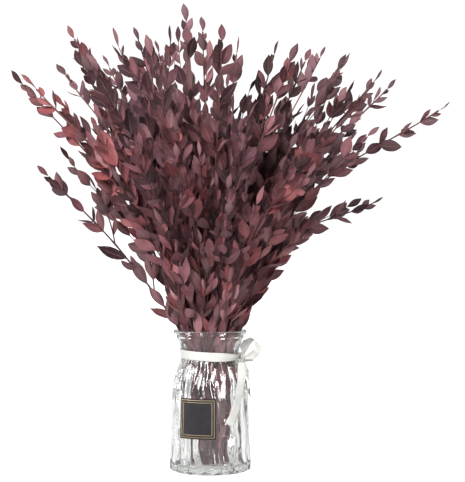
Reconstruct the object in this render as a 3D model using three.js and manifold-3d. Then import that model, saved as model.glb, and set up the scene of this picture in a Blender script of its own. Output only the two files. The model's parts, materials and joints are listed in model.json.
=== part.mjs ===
// A bunch of dried eucalyptus in a fluted glass vase, with a ribbon tied round the neck and a square label.
// Millimetres, +Z up. The origin is the middle of the vase's foot, on the surface that it stands on, and
// the side that carries the label faces -Y. Every leafy stem is one solid, because it grew as one piece:
// its woody stem is a rod of square rings, and every twig and blade grows out of one face of such a rod.
// No stem, twig or blade crosses another stem's: each one is tried in a few directions and kept only
// where it is clear.
import * as THREE from "three";
import { mergeVertices } from "three/addons/utils/BufferGeometryUtils.js";
import Module from "manifold-3d";

const wasm = await Module();
wasm.setup();

// Driving dimensions.
const VASE_HEIGHT = 156;
const GLASS_WALL = 2.4;
const GLASS_FLOOR = 7;
const FLUTES = 18;
const FLUTE_DEPTH = 1.6;
const SEAT_GAP = 0.3; // between pieces that rest on each other
const NECK_Z = 128.5; // height of the narrowest part of the neck, where the ribbon sits

const STEM_RADIUS = { foot: 1.4, tip: 0.75 };
const TWIG_RADIUS = { foot: 0.8, tip: 0.6 };
const BUD_LENGTH = 1.5; // along the rod, of the face that a twig or a blade grows out of
const FOOT_SPREAD = 20; // radius of the bundle on the vase's floor
const FOOT_SHIFT = 6; // the bundle stands a little to the right of the middle
const NECK_SPREAD = 25.5; // radius of the bundle in the neck
const LEAN_LIMIT = { side: 50, depth: 36 }; // degrees of lean at the edge of the bundle

const BLADE_LENGTH = { low: 23, high: 33 };
const BLADE_SLENDERNESS = { low: 0.19, high: 0.33 }; // half width over length
const BLADE_THICKNESS = 0.9;
const CLEARANCE = 3.7; // between the guard points of pieces that must not touch
const OWN_CLEARANCE = 2.2; // and between those of one leafy stem
const GLASS_CLEARANCE = 1.5; // and between them and the inside of the glass

const LABEL = { width: 42, height: 44, thickness: 0.6, middleZ: 62, turn: -18.3 };
const RIBBON = { width: 10, thickness: 0.8 };

// The glass's outer radius at the crests of the flutes, from the foot to the rim: [radius, height].
const GLASS_OUTLINE = [
  [43.8, 0],
  [46.3, 4],
  [45.1, 27],
  [43.1, 86],
  [41.6, 99],
  [37.4, 113],
  [32.8, 123],
  [32.0, 129],
  [33.3, 135],
  [36.4, 146],
  [38.3, 152],
  [40.4, VASE_HEIGHT],
];

// The sprays that draw the bunch's outline, seen from the front: how far each leans to the right and to the
// back, in degrees from upright, how far it reaches from the neck, and the share of its lean that it has
// halfway, which is less where it rises first and then bends outwards.
const OUTLINE_SPRAYS = [
  { side: -42, depth: -4, reach: 266, bend: 0.8 },
  { side: -35, depth: 5, reach: 370, bend: 0.7 },
  { side: -23, depth: -5, reach: 378, bend: 0.6 },
  { side: -13, depth: 5, reach: 362, bend: 0.6 },
  { side: -4, depth: -4, reach: 367, bend: 0.6 },
  { side: 5, depth: 5, reach: 340, bend: 0.6 },
  { side: 12, depth: -6, reach: 338, bend: 0.6 },
  { side: 18, depth: 4, reach: 346, bend: 0.6 },
  { side: 24, depth: -6, reach: 343, bend: 0.6 },
  { side: 31, depth: 3, reach: 355, bend: 0.6 },
  { side: 43, depth: -3, reach: 370, bend: 0.58 },
  { side: 47, depth: 7, reach: 246, bend: 0.42 },
  { side: 36, depth: -9, reach: 168, bend: 0.6 },
];

// The sprays in front of and behind those stand in rows that are fanned from left to right, and closer on
// the left, where the bunch is fuller.
const SPRAY_ROWS = [
  { depth: -17, reach: 346, sides: [-31, -20, -10, 1, 16, 29] },
  { depth: -30, reach: 285, sides: [-19, -6, 8, 23] },
  { depth: 16, reach: 380, sides: [-29, -19, -9, -1, 20, 33] },
  { depth: 29, reach: 325, sides: [-16, 5, 34] },
];
const ROW_BEND = 0.6;
const ROW_JITTER = { side: 1.5, depth: 3, shortest: 0.94, longest: 1.02 };

// A seeded draw: the same numbers in the same order on every run.
let seed = 20460;
function between(low, high) {
  seed = (seed * 1664525 + 1013904223) % 4294967296;
  return low + ((high - low) * seed) / 4294967296;
}

const radians = THREE.MathUtils.degToRad;
const { lerp, smoothstep } = THREE.MathUtils;

// Glass.

function glassRadius(z) {
  const i = GLASS_OUTLINE.findIndex(([, height]) => height >= z);
  if (i < 0) return GLASS_OUTLINE.at(-1)[0];
  if (i === 0) return GLASS_OUTLINE[0][0];
  const [r0, z0] = GLASS_OUTLINE[i - 1];
  const [r1, z1] = GLASS_OUTLINE[i];
  return r0 + ((r1 - r0) * (z - z0)) / (z1 - z0);
}

// The flutes are deep in the body and fade out through the neck, so that the rim is round.
function fluteDepth(z) {
  return FLUTE_DEPTH * (1 - 0.75 * smoothstep(z, 100, 125)) * (1 - smoothstep(z, 135, 146));
}

function innerRadius(z) {
  return glassRadius(z) - fluteDepth(z) - GLASS_WALL;
}

function makeVase() {
  const outside = GLASS_OUTLINE.map(([r, z]) => new THREE.Vector2(r, z));
  const insideHeights = [VASE_HEIGHT - 1.5, 146, 135, 129, 122, 112, 97, GLASS_FLOOR + 3];
  const inside = insideHeights.map((z) => new THREE.Vector2(innerRadius(z), z));
  const profile = [
    new THREE.Vector2(0, 0),
    ...outside,
    ...inside,
    new THREE.Vector2(innerRadius(GLASS_FLOOR) - 4, GLASS_FLOOR),
    new THREE.Vector2(0, GLASS_FLOOR),
  ];
  const geometry = new THREE.LatheGeometry(profile, 2 * FLUTES);
  const position = geometry.getAttribute("position");
  for (let i = 0; i < position.count; i++) {
    const row = i % profile.length;
    const column = Math.floor(i / profile.length);
    const isOutside = row >= 1 && row <= outside.length;
    if (!isOutside || column % 2 === 0) continue;
    const { x: radius, y: height } = profile[row];
    const share = (radius - fluteDepth(height)) / radius;
    position.setX(i, position.getX(i) * share);
    position.setZ(i, position.getZ(i) * share);
  }
  return geometry.rotateX(Math.PI / 2);
}

// Solids.

function solidOf(geometry) {
  const bare = geometry.clone();
  bare.deleteAttribute("normal");
  bare.deleteAttribute("uv");
  const merged = mergeVertices(bare, 1e-4);
  return new wasm.Manifold(
    new wasm.Mesh({
      numProp: 3,
      vertProperties: merged.getAttribute("position").array,
      triVerts: new Uint32Array(merged.index.array),
    }),
  );
}

function geometryOf(solid) {
  const { vertProperties, triVerts } = solid.getMesh();
  const geometry = new THREE.BufferGeometry();
  geometry.setAttribute("position", new THREE.BufferAttribute(vertProperties, 3));
  geometry.setIndex(new THREE.BufferAttribute(triVerts, 1));
  geometry.computeVertexNormals();
  return geometry;
}

// The corners of a square, anticlockwise.
const SQUARE = [
  [-1, -1],
  [1, -1],
  [1, 1],
  [-1, 1],
];

// A strip through stations, each with a middle, a direction across and a direction out of its face. It has
// square ends, or runs round into itself if it is closed.
function strip(stations, width, thickness, closed = false) {
  const points = stations.flatMap(({ middle, across, out }) =>
    SQUARE.map(([w, t]) =>
      middle
        .clone()
        .addScaledVector(across, (w * width) / 2)
        .addScaledVector(out, (t * thickness) / 2),
    ),
  );
  const index = [];
  const spans = closed ? stations.length : stations.length - 1;
  for (let s = 0; s < spans; s++)
    for (let k = 0; k < 4; k++) {
      const next = (k + 1) % 4;
      const far = 4 * ((s + 1) % stations.length);
      index.push(4 * s + k, 4 * s + next, far + next, 4 * s + k, far + next, far + k);
    }
  const end = 4 * (stations.length - 1);
  if (!closed) index.push(0, 2, 1, 0, 3, 2, end, end + 1, end + 2, end, end + 2, end + 3);
  return new THREE.BufferGeometry().setFromPoints(points).setIndex(index);
}

// Guard points: a sparse cloud on every stem, twig and blade that shows where space is taken.

const guards = new Map();

function cellOf(point) {
  return [point.x, point.y, point.z].map((v) => Math.floor(v / CLEARANCE));
}

function addGuards(points) {
  for (const point of points) {
    const key = cellOf(point.at).join();
    if (!guards.has(key)) guards.set(key, []);
    guards.get(key).push(point);
  }
}

function guardsNear(at) {
  const [x, y, z] = cellOf(at);
  const found = [];
  for (const i of [x - 1, x, x + 1])
    for (const j of [y - 1, y, y + 1])
      for (const k of [z - 1, z, z + 1]) found.push(...(guards.get([i, j, k].join()) ?? []));
  return found;
}

function touchesGlass({ x, y, z }) {
  const isNearGlass = z < VASE_HEIGHT + CLEARANCE;
  return isNearGlass && Math.hypot(x, y) > innerRadius(z) - GLASS_CLEARANCE;
}

// A guard near its own root may touch its own stem. Further out it keeps clear of that too, but less widely.
function isClear(points) {
  return points.every(({ at, owner, outer }) => {
    if (touchesGlass(at)) return false;
    return guardsNear(at).every((other) => {
      if (other.owner === owner && !outer) return true;
      const gap = other.owner === owner ? OWN_CLEARANCE : CLEARANCE;
      return at.distanceTo(other.at) >= gap;
    });
  });
}

function rodGuards(curve, owner, steps) {
  return Array.from({ length: steps + 1 }, (_, i) => ({ at: curve.getPoint(i / steps), owner }));
}

// Curves.

function leanDirection(side, depth) {
  return new THREE.Vector3(Math.tan(radians(side)), Math.tan(radians(depth)), 1).normalize();
}

// Inside the vase a stem keeps its place in the bundle. Above the neck it bends outwards to its own lean.
function stemCurve({ side, depth, reach, bend }) {
  const place = new THREE.Vector2(side / LEAN_LIMIT.side, depth / LEAN_LIMIT.depth);
  if (place.length() > 1) place.normalize();
  const foot = new THREE.Vector3(
    place.x * FOOT_SPREAD + FOOT_SHIFT,
    place.y * FOOT_SPREAD,
    GLASS_FLOOR + SEAT_GAP,
  );
  const middle = new THREE.Vector3(0, 0, NECK_Z);
  const neck = new THREE.Vector3(place.x * NECK_SPREAD, place.y * NECK_SPREAD, NECK_Z);
  const halfway = leanDirection(bend * side, bend * depth).multiplyScalar(0.5 * reach).add(neck);
  const tip = leanDirection(side, depth).multiplyScalar(reach).add(middle);
  return new THREE.CatmullRomCurve3([foot, neck, halfway, tip], false, "catmullrom", 0.5);
}

// A twig leaves its stem at an angle and bends back towards the stem's own direction: degrees from the stem
// to the twig's middle and to its tip.
const TWIG_LEAN = { middle: 36, tip: 25 };

function twigCurve(station, outwards, length) {
  const lean = (angle, reach) =>
    station.at
      .clone()
      .addScaledVector(station.along, reach * Math.cos(radians(angle)))
      .addScaledVector(outwards, reach * Math.sin(radians(angle)));
  const middle = lean(TWIG_LEAN.middle, 0.5 * length);
  return new THREE.QuadraticBezierCurve3(station.at.clone(), middle, lean(TWIG_LEAN.tip, length));
}

// Rods: stems and twigs. A station is a place on a rod, with the rod's direction and two more square to it.

function stationsAlong(curve, shares, firstAcross) {
  const across = firstAcross.clone();
  return shares.map((share) => {
    const along = curve.getTangent(share);
    across.addScaledVector(along, -across.dot(along)).normalize();
    const up = along.clone().cross(across);
    return { share, at: curve.getPoint(share), along, across: across.clone(), up, buds: [] };
  });
}

// A rod has four sides, counted anticlockwise as seen from its tip.
function sideDirection({ across, up }, side) {
  return [up.clone().negate(), across.clone(), up.clone(), across.clone().negate()][side % 4];
}

// The direction out of a side, turned a little round the rod, and the direction across that.
function outwardsFrom(station, side, turn) {
  const straight = sideDirection(station, side);
  const across = station.along.clone().cross(straight);
  const outwards = straight
    .multiplyScalar(Math.cos(radians(turn)))
    .addScaledVector(across, Math.sin(radians(turn)));
  return { outwards, across: station.along.clone().cross(outwards) };
}

function addPoint(mesh, point) {
  return mesh.points.push(point) - 1;
}

function addRing(mesh, { at, along, across, up }, radius, shift = 0) {
  return SQUARE.map(([a, b]) =>
    addPoint(
      mesh,
      at
        .clone()
        .addScaledVector(along, shift)
        .addScaledVector(across, a * radius * Math.SQRT1_2)
        .addScaledVector(up, b * radius * Math.SQRT1_2),
    ),
  );
}

function addFan(mesh, centre, loop) {
  loop.forEach((corner, i) => mesh.index.push(centre, corner, loop[(i + 1) % loop.length]));
}

function addQuad(mesh, [a, b, c, d]) {
  mesh.index.push(a, b, c, a, c, d);
}

function joinRings(mesh, low, high, buds) {
  for (let side = 0; side < 4; side++) {
    const next = (side + 1) % 4;
    const quad = [low[side], low[next], high[next], high[side]];
    const grow = buds[side] ?? addQuad;
    grow(mesh, quad);
  }
}

function buildRod(mesh, { radius, stations, tipBlade }, firstRing) {
  let ring = firstRing;
  for (const station of stations) {
    const r = lerp(radius.foot, radius.tip, station.share);
    if (station.buds.length === 0) {
      const next = addRing(mesh, station, r);
      joinRings(mesh, ring, next, []);
      ring = next;
      continue;
    }
    const low = addRing(mesh, station, r, -BUD_LENGTH / 2);
    const high = addRing(mesh, station, r, BUD_LENGTH / 2);
    joinRings(mesh, ring, low, []);
    joinRings(mesh, low, high, station.buds);
    ring = high;
  }
  (tipBlade ?? addQuad)(mesh, ring);
}

// Blades. Each is placed by its root, the direction that it points in and the side that its face looks to.

// Half the outline: how far along the blade, and how wide there as a share of the half width.
const BLADE_OUTLINE = [
  [0.3, 1],
  [0.68, 0.72],
];
const RIB_MIDDLE = 0.45;
const BLADE_ARCH = 0.06; // how high the rib bows, as a share of the length
const BLADE_FOLD = 0.2; // how far the edges lift out of the rib's plane, as a share of the half width

function bladePoint({ root, along, across, face, length, halfWidth, roll }, u, v, lift) {
  const twist = roll * u;
  const sideways = across.clone().multiplyScalar(Math.cos(twist)).addScaledVector(face, Math.sin(twist));
  const outOfFace = face.clone().multiplyScalar(Math.cos(twist)).addScaledVector(across, -Math.sin(twist));
  const arch = -BLADE_ARCH * length * Math.sin(Math.PI * u);
  return root
    .clone()
    .addScaledVector(along, u * length)
    .addScaledVector(sideways, v * halfWidth)
    .addScaledVector(outOfFace, arch + BLADE_FOLD * Math.abs(v) * halfWidth + lift);
}

function buildBlade(mesh, [lowLeft, lowRight, highRight, highLeft], blade) {
  const add = (u, v, lift) => addPoint(mesh, bladePoint(blade, u, v, lift));
  const right = BLADE_OUTLINE.map(([u, v]) => add(u, v, 0));
  const left = BLADE_OUTLINE.map(([u, v]) => add(u, -v, 0));
  const tip = add(1, 0, 0);
  const ridge = add(RIB_MIDDLE, 0, BLADE_THICKNESS / 2);
  const keel = add(RIB_MIDDLE, 0, -BLADE_THICKNESS / 2);
  const rim = [...right, tip, ...left.toReversed()];
  addFan(mesh, keel, [lowLeft, lowRight, ...rim]);
  addFan(mesh, ridge, [highRight, highLeft, ...rim.toReversed()]);
  mesh.index.push(right[0], lowRight, highRight, left[0], highLeft, lowLeft);
}

// Where a blade's guards stand: how far along it, and how far to each side.
const GUARD_ROWS = [
  [0.14, 0],
  [0.28, 0.62],
  [0.42, 0.8],
  [0.56, 0.8],
  [0.7, 0.6],
  [0.84, 0.3],
  [0.97, 0],
];

function bladeGuards(blade, owner) {
  return GUARD_ROWS.flatMap(([u, w]) =>
    (w ? [-w, 0, w] : [0]).map((v) => ({ at: bladePoint(blade, u, v, 0), owner, outer: u > 0.3 })),
  );
}

// A blade is tried in these ways, in this order: a turn round the stem and a spread away from it, in degrees.
const BLADE_ATTEMPTS = [
  [0, 36],
  [28, 30],
  [-28, 30],
  [0, 20],
  [40, 20],
  [-40, 20],
];

function growBlade(station, side, size, owner) {
  const length = size * between(BLADE_LENGTH.low, BLADE_LENGTH.high);
  const halfWidth = length * between(BLADE_SLENDERNESS.low, BLADE_SLENDERNESS.high);
  const extraSpread = between(-4, 10);
  const roll = radians(between(-70, 70));
  for (const [turn, spread] of BLADE_ATTEMPTS) {
    const { outwards, across } = outwardsFrom(station, side, turn);
    const lean = radians(spread + extraSpread);
    const along = station.along
      .clone()
      .multiplyScalar(Math.cos(lean))
      .addScaledVector(outwards, Math.sin(lean));
    const face = along.clone().cross(across);
    const blade = { root: station.at, along, across, face, length, halfWidth, roll };
    const points = bladeGuards(blade, owner);
    if (!isClear(points)) continue;
    addGuards(points);
    return (mesh, quad) => buildBlade(mesh, quad, blade);
  }
  return null;
}

// The single blade that a rod ends in goes straight on.
function growTipBlade(curve, last, size, owner) {
  const length = size * between(BLADE_LENGTH.low, BLADE_LENGTH.high);
  const halfWidth = length * between(BLADE_SLENDERNESS.low, BLADE_SLENDERNESS.high);
  const blade = { root: curve.getPoint(1), along: last.along, across: last.across, face: last.up };
  Object.assign(blade, { length, halfWidth, roll: radians(between(-40, 40)) });
  const points = bladeGuards(blade, owner);
  if (!isClear(points)) return null;
  addGuards(points);
  return (mesh, quad) => buildBlade(mesh, quad, blade);
}

// Leafy stems.

function allSprays() {
  const sprays = [...OUTLINE_SPRAYS];
  for (const { depth, reach, sides } of SPRAY_ROWS)
    for (const side of sides)
      sprays.push({
        side: side + between(-ROW_JITTER.side, ROW_JITTER.side),
        depth: depth + between(-ROW_JITTER.depth, ROW_JITTER.depth),
        reach: reach * between(ROW_JITTER.shortest, ROW_JITTER.longest),
        bend: ROW_BEND,
      });
  return sprays;
}

const TWIG_REACH = [0.36, 0.25]; // of the stem's reach: its lower twig, then its upper one
const TIP_SIZE = 0.72; // of a blade at the tip, next to one in a pair
const TWIG_BLADE_SIZE = 0.92;
const LONG_TWIG = 85; // a shorter one has one pair of blades instead of two
const TWIG_ATTEMPTS = [0, 25, -25]; // degrees round the stem, on each of its sides in turn

// A twig never grows out of the side that faces down, since twigs turn towards the light.
function sidesToTry(station) {
  const firstSide = Math.floor(between(0, 4));
  return [0, 1, 2, 3]
    .map((i) => (firstSide + i) % 4)
    .filter((side) => sideDirection(station, side).z > -0.25);
}

// Opposite pairs of blades, each pair turned a right angle from the last, and a single blade at the tip.
function growPairs(rod, size, owner) {
  const firstSide = Math.floor(between(0, 2));
  rod.stations
    .filter(({ share }) => rod.pairShares.includes(share))
    .forEach((station, i) => {
      const taper = lerp(1, 0.75, station.share);
      for (const side of [0, 2]) {
        const onSide = (firstSide + i + side) % 4;
        const bud = growBlade(station, onSide, size * taper, owner);
        if (bud) station.buds[onSide] = bud;
      }
    });
  rod.tipBlade = growTipBlade(rod.curve, rod.stations.at(-1), TIP_SIZE * size, owner);
}

function growTwig(station, length, owner) {
  const pairShares = length > LONG_TWIG ? [0.42, 0.74] : [0.55];
  for (const side of sidesToTry(station))
    for (const turn of TWIG_ATTEMPTS) {
      const { outwards, across } = outwardsFrom(station, side, turn);
      const curve = twigCurve(station, outwards, length);
      const points = rodGuards(curve, owner, Math.round(length / 3));
      if (!isClear(points)) continue;
      addGuards(points);
      const stations = stationsAlong(curve, [0.04, ...pairShares, 1], across);
      const twig = { curve, radius: TWIG_RADIUS, stations, pairShares };
      station.buds[side] = (mesh, quad) => buildRod(mesh, twig, quad);
      return [twig];
    }
  return [];
}

const BARE_SHARES = [0, 0.17, 0.31]; // inside the vase
const TWIG_SHARES = [0.545, 0.7];
const LONG_REACH = 300; // a stem that reaches less far has fewer pairs
const PAIR_SHARES = { long: [0.43, 0.62, 0.77, 0.85, 0.93], short: [0.44, 0.62, 0.79, 0.91] };
const SHARE_JITTER = 0.02;

function makeStem(spray, i) {
  const curve = stemCurve(spray);
  const turn = between(0, Math.PI);
  const firstAcross = new THREE.Vector3(Math.cos(turn), Math.sin(turn), 0);
  const jitter = (shares) => shares.map((share) => share + between(-SHARE_JITTER, SHARE_JITTER));
  const pairShares = jitter(spray.reach > LONG_REACH ? PAIR_SHARES.long : PAIR_SHARES.short);
  const twigShares = jitter(TWIG_SHARES);
  const shares = [...BARE_SHARES, ...twigShares, ...pairShares, 1].sort((a, b) => a - b);
  return {
    name: `leafy_stem_${String(i + 1).padStart(2, "0")}`,
    curve,
    reach: spray.reach,
    radius: STEM_RADIUS,
    pairShares,
    twigShares,
    stations: stationsAlong(curve, shares, firstAcross),
  };
}

function stemGeometry(stem) {
  const mesh = { points: [], index: [] };
  const [foot, ...stations] = stem.stations;
  const firstRing = addRing(mesh, foot, stem.radius.foot);
  addQuad(mesh, firstRing.toReversed());
  buildRod(mesh, { ...stem, stations }, firstRing);
  const geometry = new THREE.BufferGeometry().setFromPoints(mesh.points).setIndex(mesh.index);
  geometry.computeVertexNormals();
  return geometry;
}

// First every stem stands, then the twigs grow, and the blades fill what room is left.
function makeLeafyStems() {
  const stems = allSprays().map(makeStem);
  for (const { curve, name } of stems) addGuards(rodGuards(curve, name, 150));
  for (const stem of stems)
    stem.twigs = stem.stations
      .filter(({ share }) => stem.twigShares.includes(share))
      .flatMap((station, i) =>
        growTwig(station, TWIG_REACH[i] * stem.reach * between(0.85, 1.1), stem.name),
      );
  for (const stem of stems) {
    for (const twig of stem.twigs) growPairs(twig, TWIG_BLADE_SIZE, stem.name);
    growPairs(stem, 1, stem.name);
  }
  return stems.map((stem) => ({ name: stem.name, geometry: stemGeometry(stem) }));
}

// Label and ribbon.

// A point on the outside of the glass: its turn from the front towards the right, its height, and how far
// off the glass it is.
function onGlass(turn, z, off) {
  const r = glassRadius(z) + off;
  return new THREE.Vector3(r * Math.sin(radians(turn)), -r * Math.cos(radians(turn)), z);
}

function outFrom(turn) {
  return new THREE.Vector3(Math.sin(radians(turn)), -Math.cos(radians(turn)), 0);
}

function makeLabel() {
  const bottom = LABEL.middleZ - LABEL.height / 2;
  const top = LABEL.middleZ + LABEL.height / 2;
  const halfAngle = THREE.MathUtils.radToDeg(LABEL.width / 2 / glassRadius(LABEL.middleZ));
  const off = SEAT_GAP + LABEL.thickness / 2;
  const steps = 8;
  const stations = Array.from({ length: steps + 1 }, (_, i) => {
    const turn = LABEL.turn + lerp(-halfAngle, halfAngle, i / steps);
    const low = onGlass(turn, bottom, off);
    const high = onGlass(turn, top, off);
    const across = high.clone().sub(low).normalize();
    return { middle: low.add(high).multiplyScalar(0.5), across, out: outFrom(turn) };
  });
  return strip(stations, LABEL.height, LABEL.thickness);
}

const BAND_TILT = 3; // degrees, lower on the right
const BAND_STATIONS = 24;
const KNOT = { turn: 71, z: 125, off: 4.6, size: [4, 5.5, 6.5] }; // half its depth, width and height

function bandStations() {
  const drop = glassRadius(NECK_Z) * Math.tan(radians(BAND_TILT));
  const off = 2 * SEAT_GAP + RIBBON.thickness / 2; // its flats lie nearer to the glass than its corners
  return Array.from({ length: BAND_STATIONS }, (_, i) => {
    const turn = (360 * i) / BAND_STATIONS;
    const z = NECK_Z - drop * Math.sin(radians(turn));
    const low = onGlass(turn, z - RIBBON.width / 2, off);
    const high = onGlass(turn, z + RIBBON.width / 2, off);
    const across = high.clone().sub(low).normalize();
    return { middle: low.add(high).multiplyScalar(0.5), across, out: outFrom(turn) };
  });
}

// Bow loops: where each points, the way that it opens, and its length and depth.
const UPPER_LOOP = { towards: [0.68, -0.2, 0.7], opening: [0.1, -1, -0.2], length: 26, depth: 7 };
const LOWER_LOOP = { towards: [0.85, 0.5, 0.1], opening: [-0.4, 0.8, 0.3], length: 17, depth: 4.5 };

// A bow loop is a teardrop that leaves the knot and comes back to it.
function loopStations(loop) {
  const { length, depth } = loop;
  const towards = new THREE.Vector3(...loop.towards).normalize();
  const opening = new THREE.Vector3(...loop.opening).normalize();
  const knot = onGlass(KNOT.turn, KNOT.z, KNOT.off);
  const steps = 9;
  const place = (s) =>
    knot
      .clone()
      .addScaledVector(towards, length * Math.sin(Math.PI * s))
      .addScaledVector(opening, depth * Math.sin(2 * Math.PI * s) + 1.5 * Math.cos(Math.PI * s));
  const across = towards.clone().cross(opening).normalize();
  return Array.from({ length: steps + 1 }, (_, i) => {
    const s = i / steps;
    const along = place(s + 0.01).sub(place(s - 0.01));
    return { middle: place(s), across, out: along.cross(across).normalize() };
  });
}

// A tail hangs from the knot and lies down the glass: its middle line as [turn, height, off the glass].
function tailStations(route) {
  const line = new THREE.CatmullRomCurve3(route.map(([turn, z, off]) => onGlass(turn, z, off)));
  const steps = 7;
  return Array.from({ length: steps + 1 }, (_, i) => {
    const middle = line.getPoint(i / steps);
    const out = new THREE.Vector3(middle.x, middle.y, 0).normalize();
    const across = out.clone().cross(line.getTangent(i / steps)).normalize();
    return { middle, across, out };
  });
}

const FRONT_TAIL = [
  [71, 123, 4.0],
  [63, 114, 2.8],
  [56, 104, 2.0],
  [46, 87, 1.5],
  [37, 68, 1.5],
  [27, 55, 1.7],
];
const BACK_TAIL = [
  [75, 123, 4.0],
  [86, 110, 2.8],
  [96, 95, 2.0],
  [103, 82, 1.5],
];

function makeRibbon() {
  const knot = new THREE.SphereGeometry(1, 8, 5)
    .scale(...KNOT.size)
    .rotateZ(radians(KNOT.turn - 90))
    .translate(...onGlass(KNOT.turn, KNOT.z, KNOT.off).toArray());
  const tape = (stations, closed) => solidOf(strip(stations, RIBBON.width, RIBBON.thickness, closed));
  return wasm.Manifold.union([
    tape(bandStations(), true),
    solidOf(knot),
    tape(loopStations(UPPER_LOOP)),
    tape(loopStations(LOWER_LOOP)),
    tape(tailStations(FRONT_TAIL)),
    tape(tailStations(BACK_TAIL)),
  ]);
}

// The finished bunch.

const finishes = {
  glass: new THREE.MeshStandardMaterial({
    color: 0xe6f0ec,
    roughness: 0.03,
    metalness: 0,
    transparent: true,
    opacity: 0.35,
  }),
  eucalyptus: new THREE.MeshStandardMaterial({ color: 0x6b474a, roughness: 0.75, metalness: 0 }),
  label: new THREE.MeshStandardMaterial({ color: 0x23242c, roughness: 0.5, metalness: 0 }),
  ribbon: new THREE.MeshStandardMaterial({ color: 0xf3efe6, roughness: 0.6, metalness: 0 }),
};

function addPiece(group, name, geometry, finish) {
  const mesh = new THREE.Mesh(geometry, finish);
  mesh.name = name;
  group.add(mesh);
}

const bunch = new THREE.Group();
addPiece(bunch, "vase", makeVase(), finishes.glass);
addPiece(bunch, "label", makeLabel(), finishes.label);
addPiece(bunch, "ribbon", geometryOf(makeRibbon()), finishes.ribbon);
for (const { name, geometry } of makeLeafyStems()) addPiece(bunch, name, geometry, finishes.eucalyptus);

export default bunch;
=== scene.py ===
# %% [markdown]
# # A bunch of dried eucalyptus in a glass vase
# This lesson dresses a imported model: 32 leafy stems in a fluted glass vase, with a label and a ribbon.
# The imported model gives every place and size. Each plain solid in it is replaced by a finer piece that keeps
# its form. Lengths are worked out in millimetres, as in the model's own source, and become metres when a mesh
# is made.

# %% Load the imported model
import json
import math

import bmesh
import bpy
import numpy as np
from mathutils import Matrix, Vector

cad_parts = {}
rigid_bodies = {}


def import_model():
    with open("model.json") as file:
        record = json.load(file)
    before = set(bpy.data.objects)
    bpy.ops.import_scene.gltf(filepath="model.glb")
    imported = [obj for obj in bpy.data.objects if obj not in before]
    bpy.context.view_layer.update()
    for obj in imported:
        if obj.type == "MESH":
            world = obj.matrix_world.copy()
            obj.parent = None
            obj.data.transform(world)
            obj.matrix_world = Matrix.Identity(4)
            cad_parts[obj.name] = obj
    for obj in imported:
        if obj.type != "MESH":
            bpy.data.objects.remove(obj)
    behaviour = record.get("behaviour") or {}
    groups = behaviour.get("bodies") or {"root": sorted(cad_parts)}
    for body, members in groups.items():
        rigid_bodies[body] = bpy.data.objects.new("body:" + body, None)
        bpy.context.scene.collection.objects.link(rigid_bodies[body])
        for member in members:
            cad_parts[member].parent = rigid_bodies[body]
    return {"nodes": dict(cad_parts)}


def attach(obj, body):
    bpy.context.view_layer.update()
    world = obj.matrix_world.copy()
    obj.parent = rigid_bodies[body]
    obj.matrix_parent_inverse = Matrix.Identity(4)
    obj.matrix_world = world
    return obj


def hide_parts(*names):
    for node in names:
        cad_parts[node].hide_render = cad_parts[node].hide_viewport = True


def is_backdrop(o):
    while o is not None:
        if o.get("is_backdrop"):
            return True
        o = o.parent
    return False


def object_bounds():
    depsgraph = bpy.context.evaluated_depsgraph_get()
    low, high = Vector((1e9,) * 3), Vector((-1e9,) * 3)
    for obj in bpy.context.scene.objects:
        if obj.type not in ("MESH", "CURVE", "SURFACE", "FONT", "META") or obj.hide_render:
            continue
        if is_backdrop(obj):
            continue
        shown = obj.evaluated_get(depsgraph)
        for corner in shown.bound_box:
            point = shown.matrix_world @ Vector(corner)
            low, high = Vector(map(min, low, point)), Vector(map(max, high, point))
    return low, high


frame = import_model()
solid_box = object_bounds()
MM = 0.001
print("solids:", len(frame["nodes"]), "box", [[round(v, 3) for v in corner] for corner in solid_box])

# %% [markdown]
# ## Wiring nodes in Python
# Both finishes and Geometry Nodes are trees of nodes. Placing them by hand takes four lines a node, so one
# small class wraps an output socket and turns `a * b + 1` into Math nodes, and one method makes any other
# node. The same two classes serve both kinds of tree, because Math nodes are the same in both.


# %% Wire and Desk
class Wire:
    """An output socket. Arithmetic on wires and numbers adds Math nodes to their tree."""

    def __init__(self, desk, socket):
        self.desk, self.socket = desk, socket

    def maths(self, operation, *others):
        """A Math node whose first value is this wire."""
        return self.desk.maths(operation, self, *others)

    def __add__(self, other):
        return self.maths("ADD", other)

    def __sub__(self, other):
        return self.maths("SUBTRACT", other)

    def __rsub__(self, other):
        return self.desk.maths("SUBTRACT", other, self)

    def __mul__(self, other):
        return self.maths("MULTIPLY", other)

    def __abs__(self):
        return self.maths("ABSOLUTE")

    __radd__, __rmul__ = __add__, __mul__


class Desk:
    """A node tree being laid out."""

    def __init__(self, tree):
        self.tree = tree

    def node(self, kind, settings=None, sockets=None):
        """Adds a node: first its settings, then the values or wires of its sockets, by name or number."""
        made = self.tree.nodes.new(kind)
        for name, value in (settings or {}).items():
            if name == "stops":
                self.set_stops(made.color_ramp, value)
            else:
                setattr(made, name, value)
        for name, value in (sockets or {}).items():
            if isinstance(value, Wire):
                self.tree.links.new(value.socket, made.inputs[name])
            else:
                made.inputs[name].default_value = value
        return [Wire(self, socket) for socket in made.outputs]

    def maths(self, operation, *values):
        return self.node("ShaderNodeMath", {"operation": operation}, dict(enumerate(values)))[0]

    def set_stops(self, ramp, stops):
        while len(ramp.elements) < len(stops):
            ramp.elements.new(1)
        for element, (position, colour) in zip(ramp.elements, stops):
            element.position, element.color = position, (*colour, 1)

    def step(self, value, low, high):
        """0 below low, 1 above high, and a smooth rise between them."""
        settings = {"interpolation_type": "SMOOTHSTEP"}
        return self.node("ShaderNodeMapRange", settings, {0: value, 1: low, 2: high})[0]

    def mix(self, share, low, high, blend="MIX"):
        """Two colours, mixed."""
        settings = {"data_type": "RGBA", "blend_type": blend, "clamp_factor": True}
        low, high = (c if isinstance(c, Wire) else (*c, 1) for c in (low, high))
        return self.node("ShaderNodeMix", settings, {0: share, 6: low, 7: high})[2]


print("Wire and Desk are ready")

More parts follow.
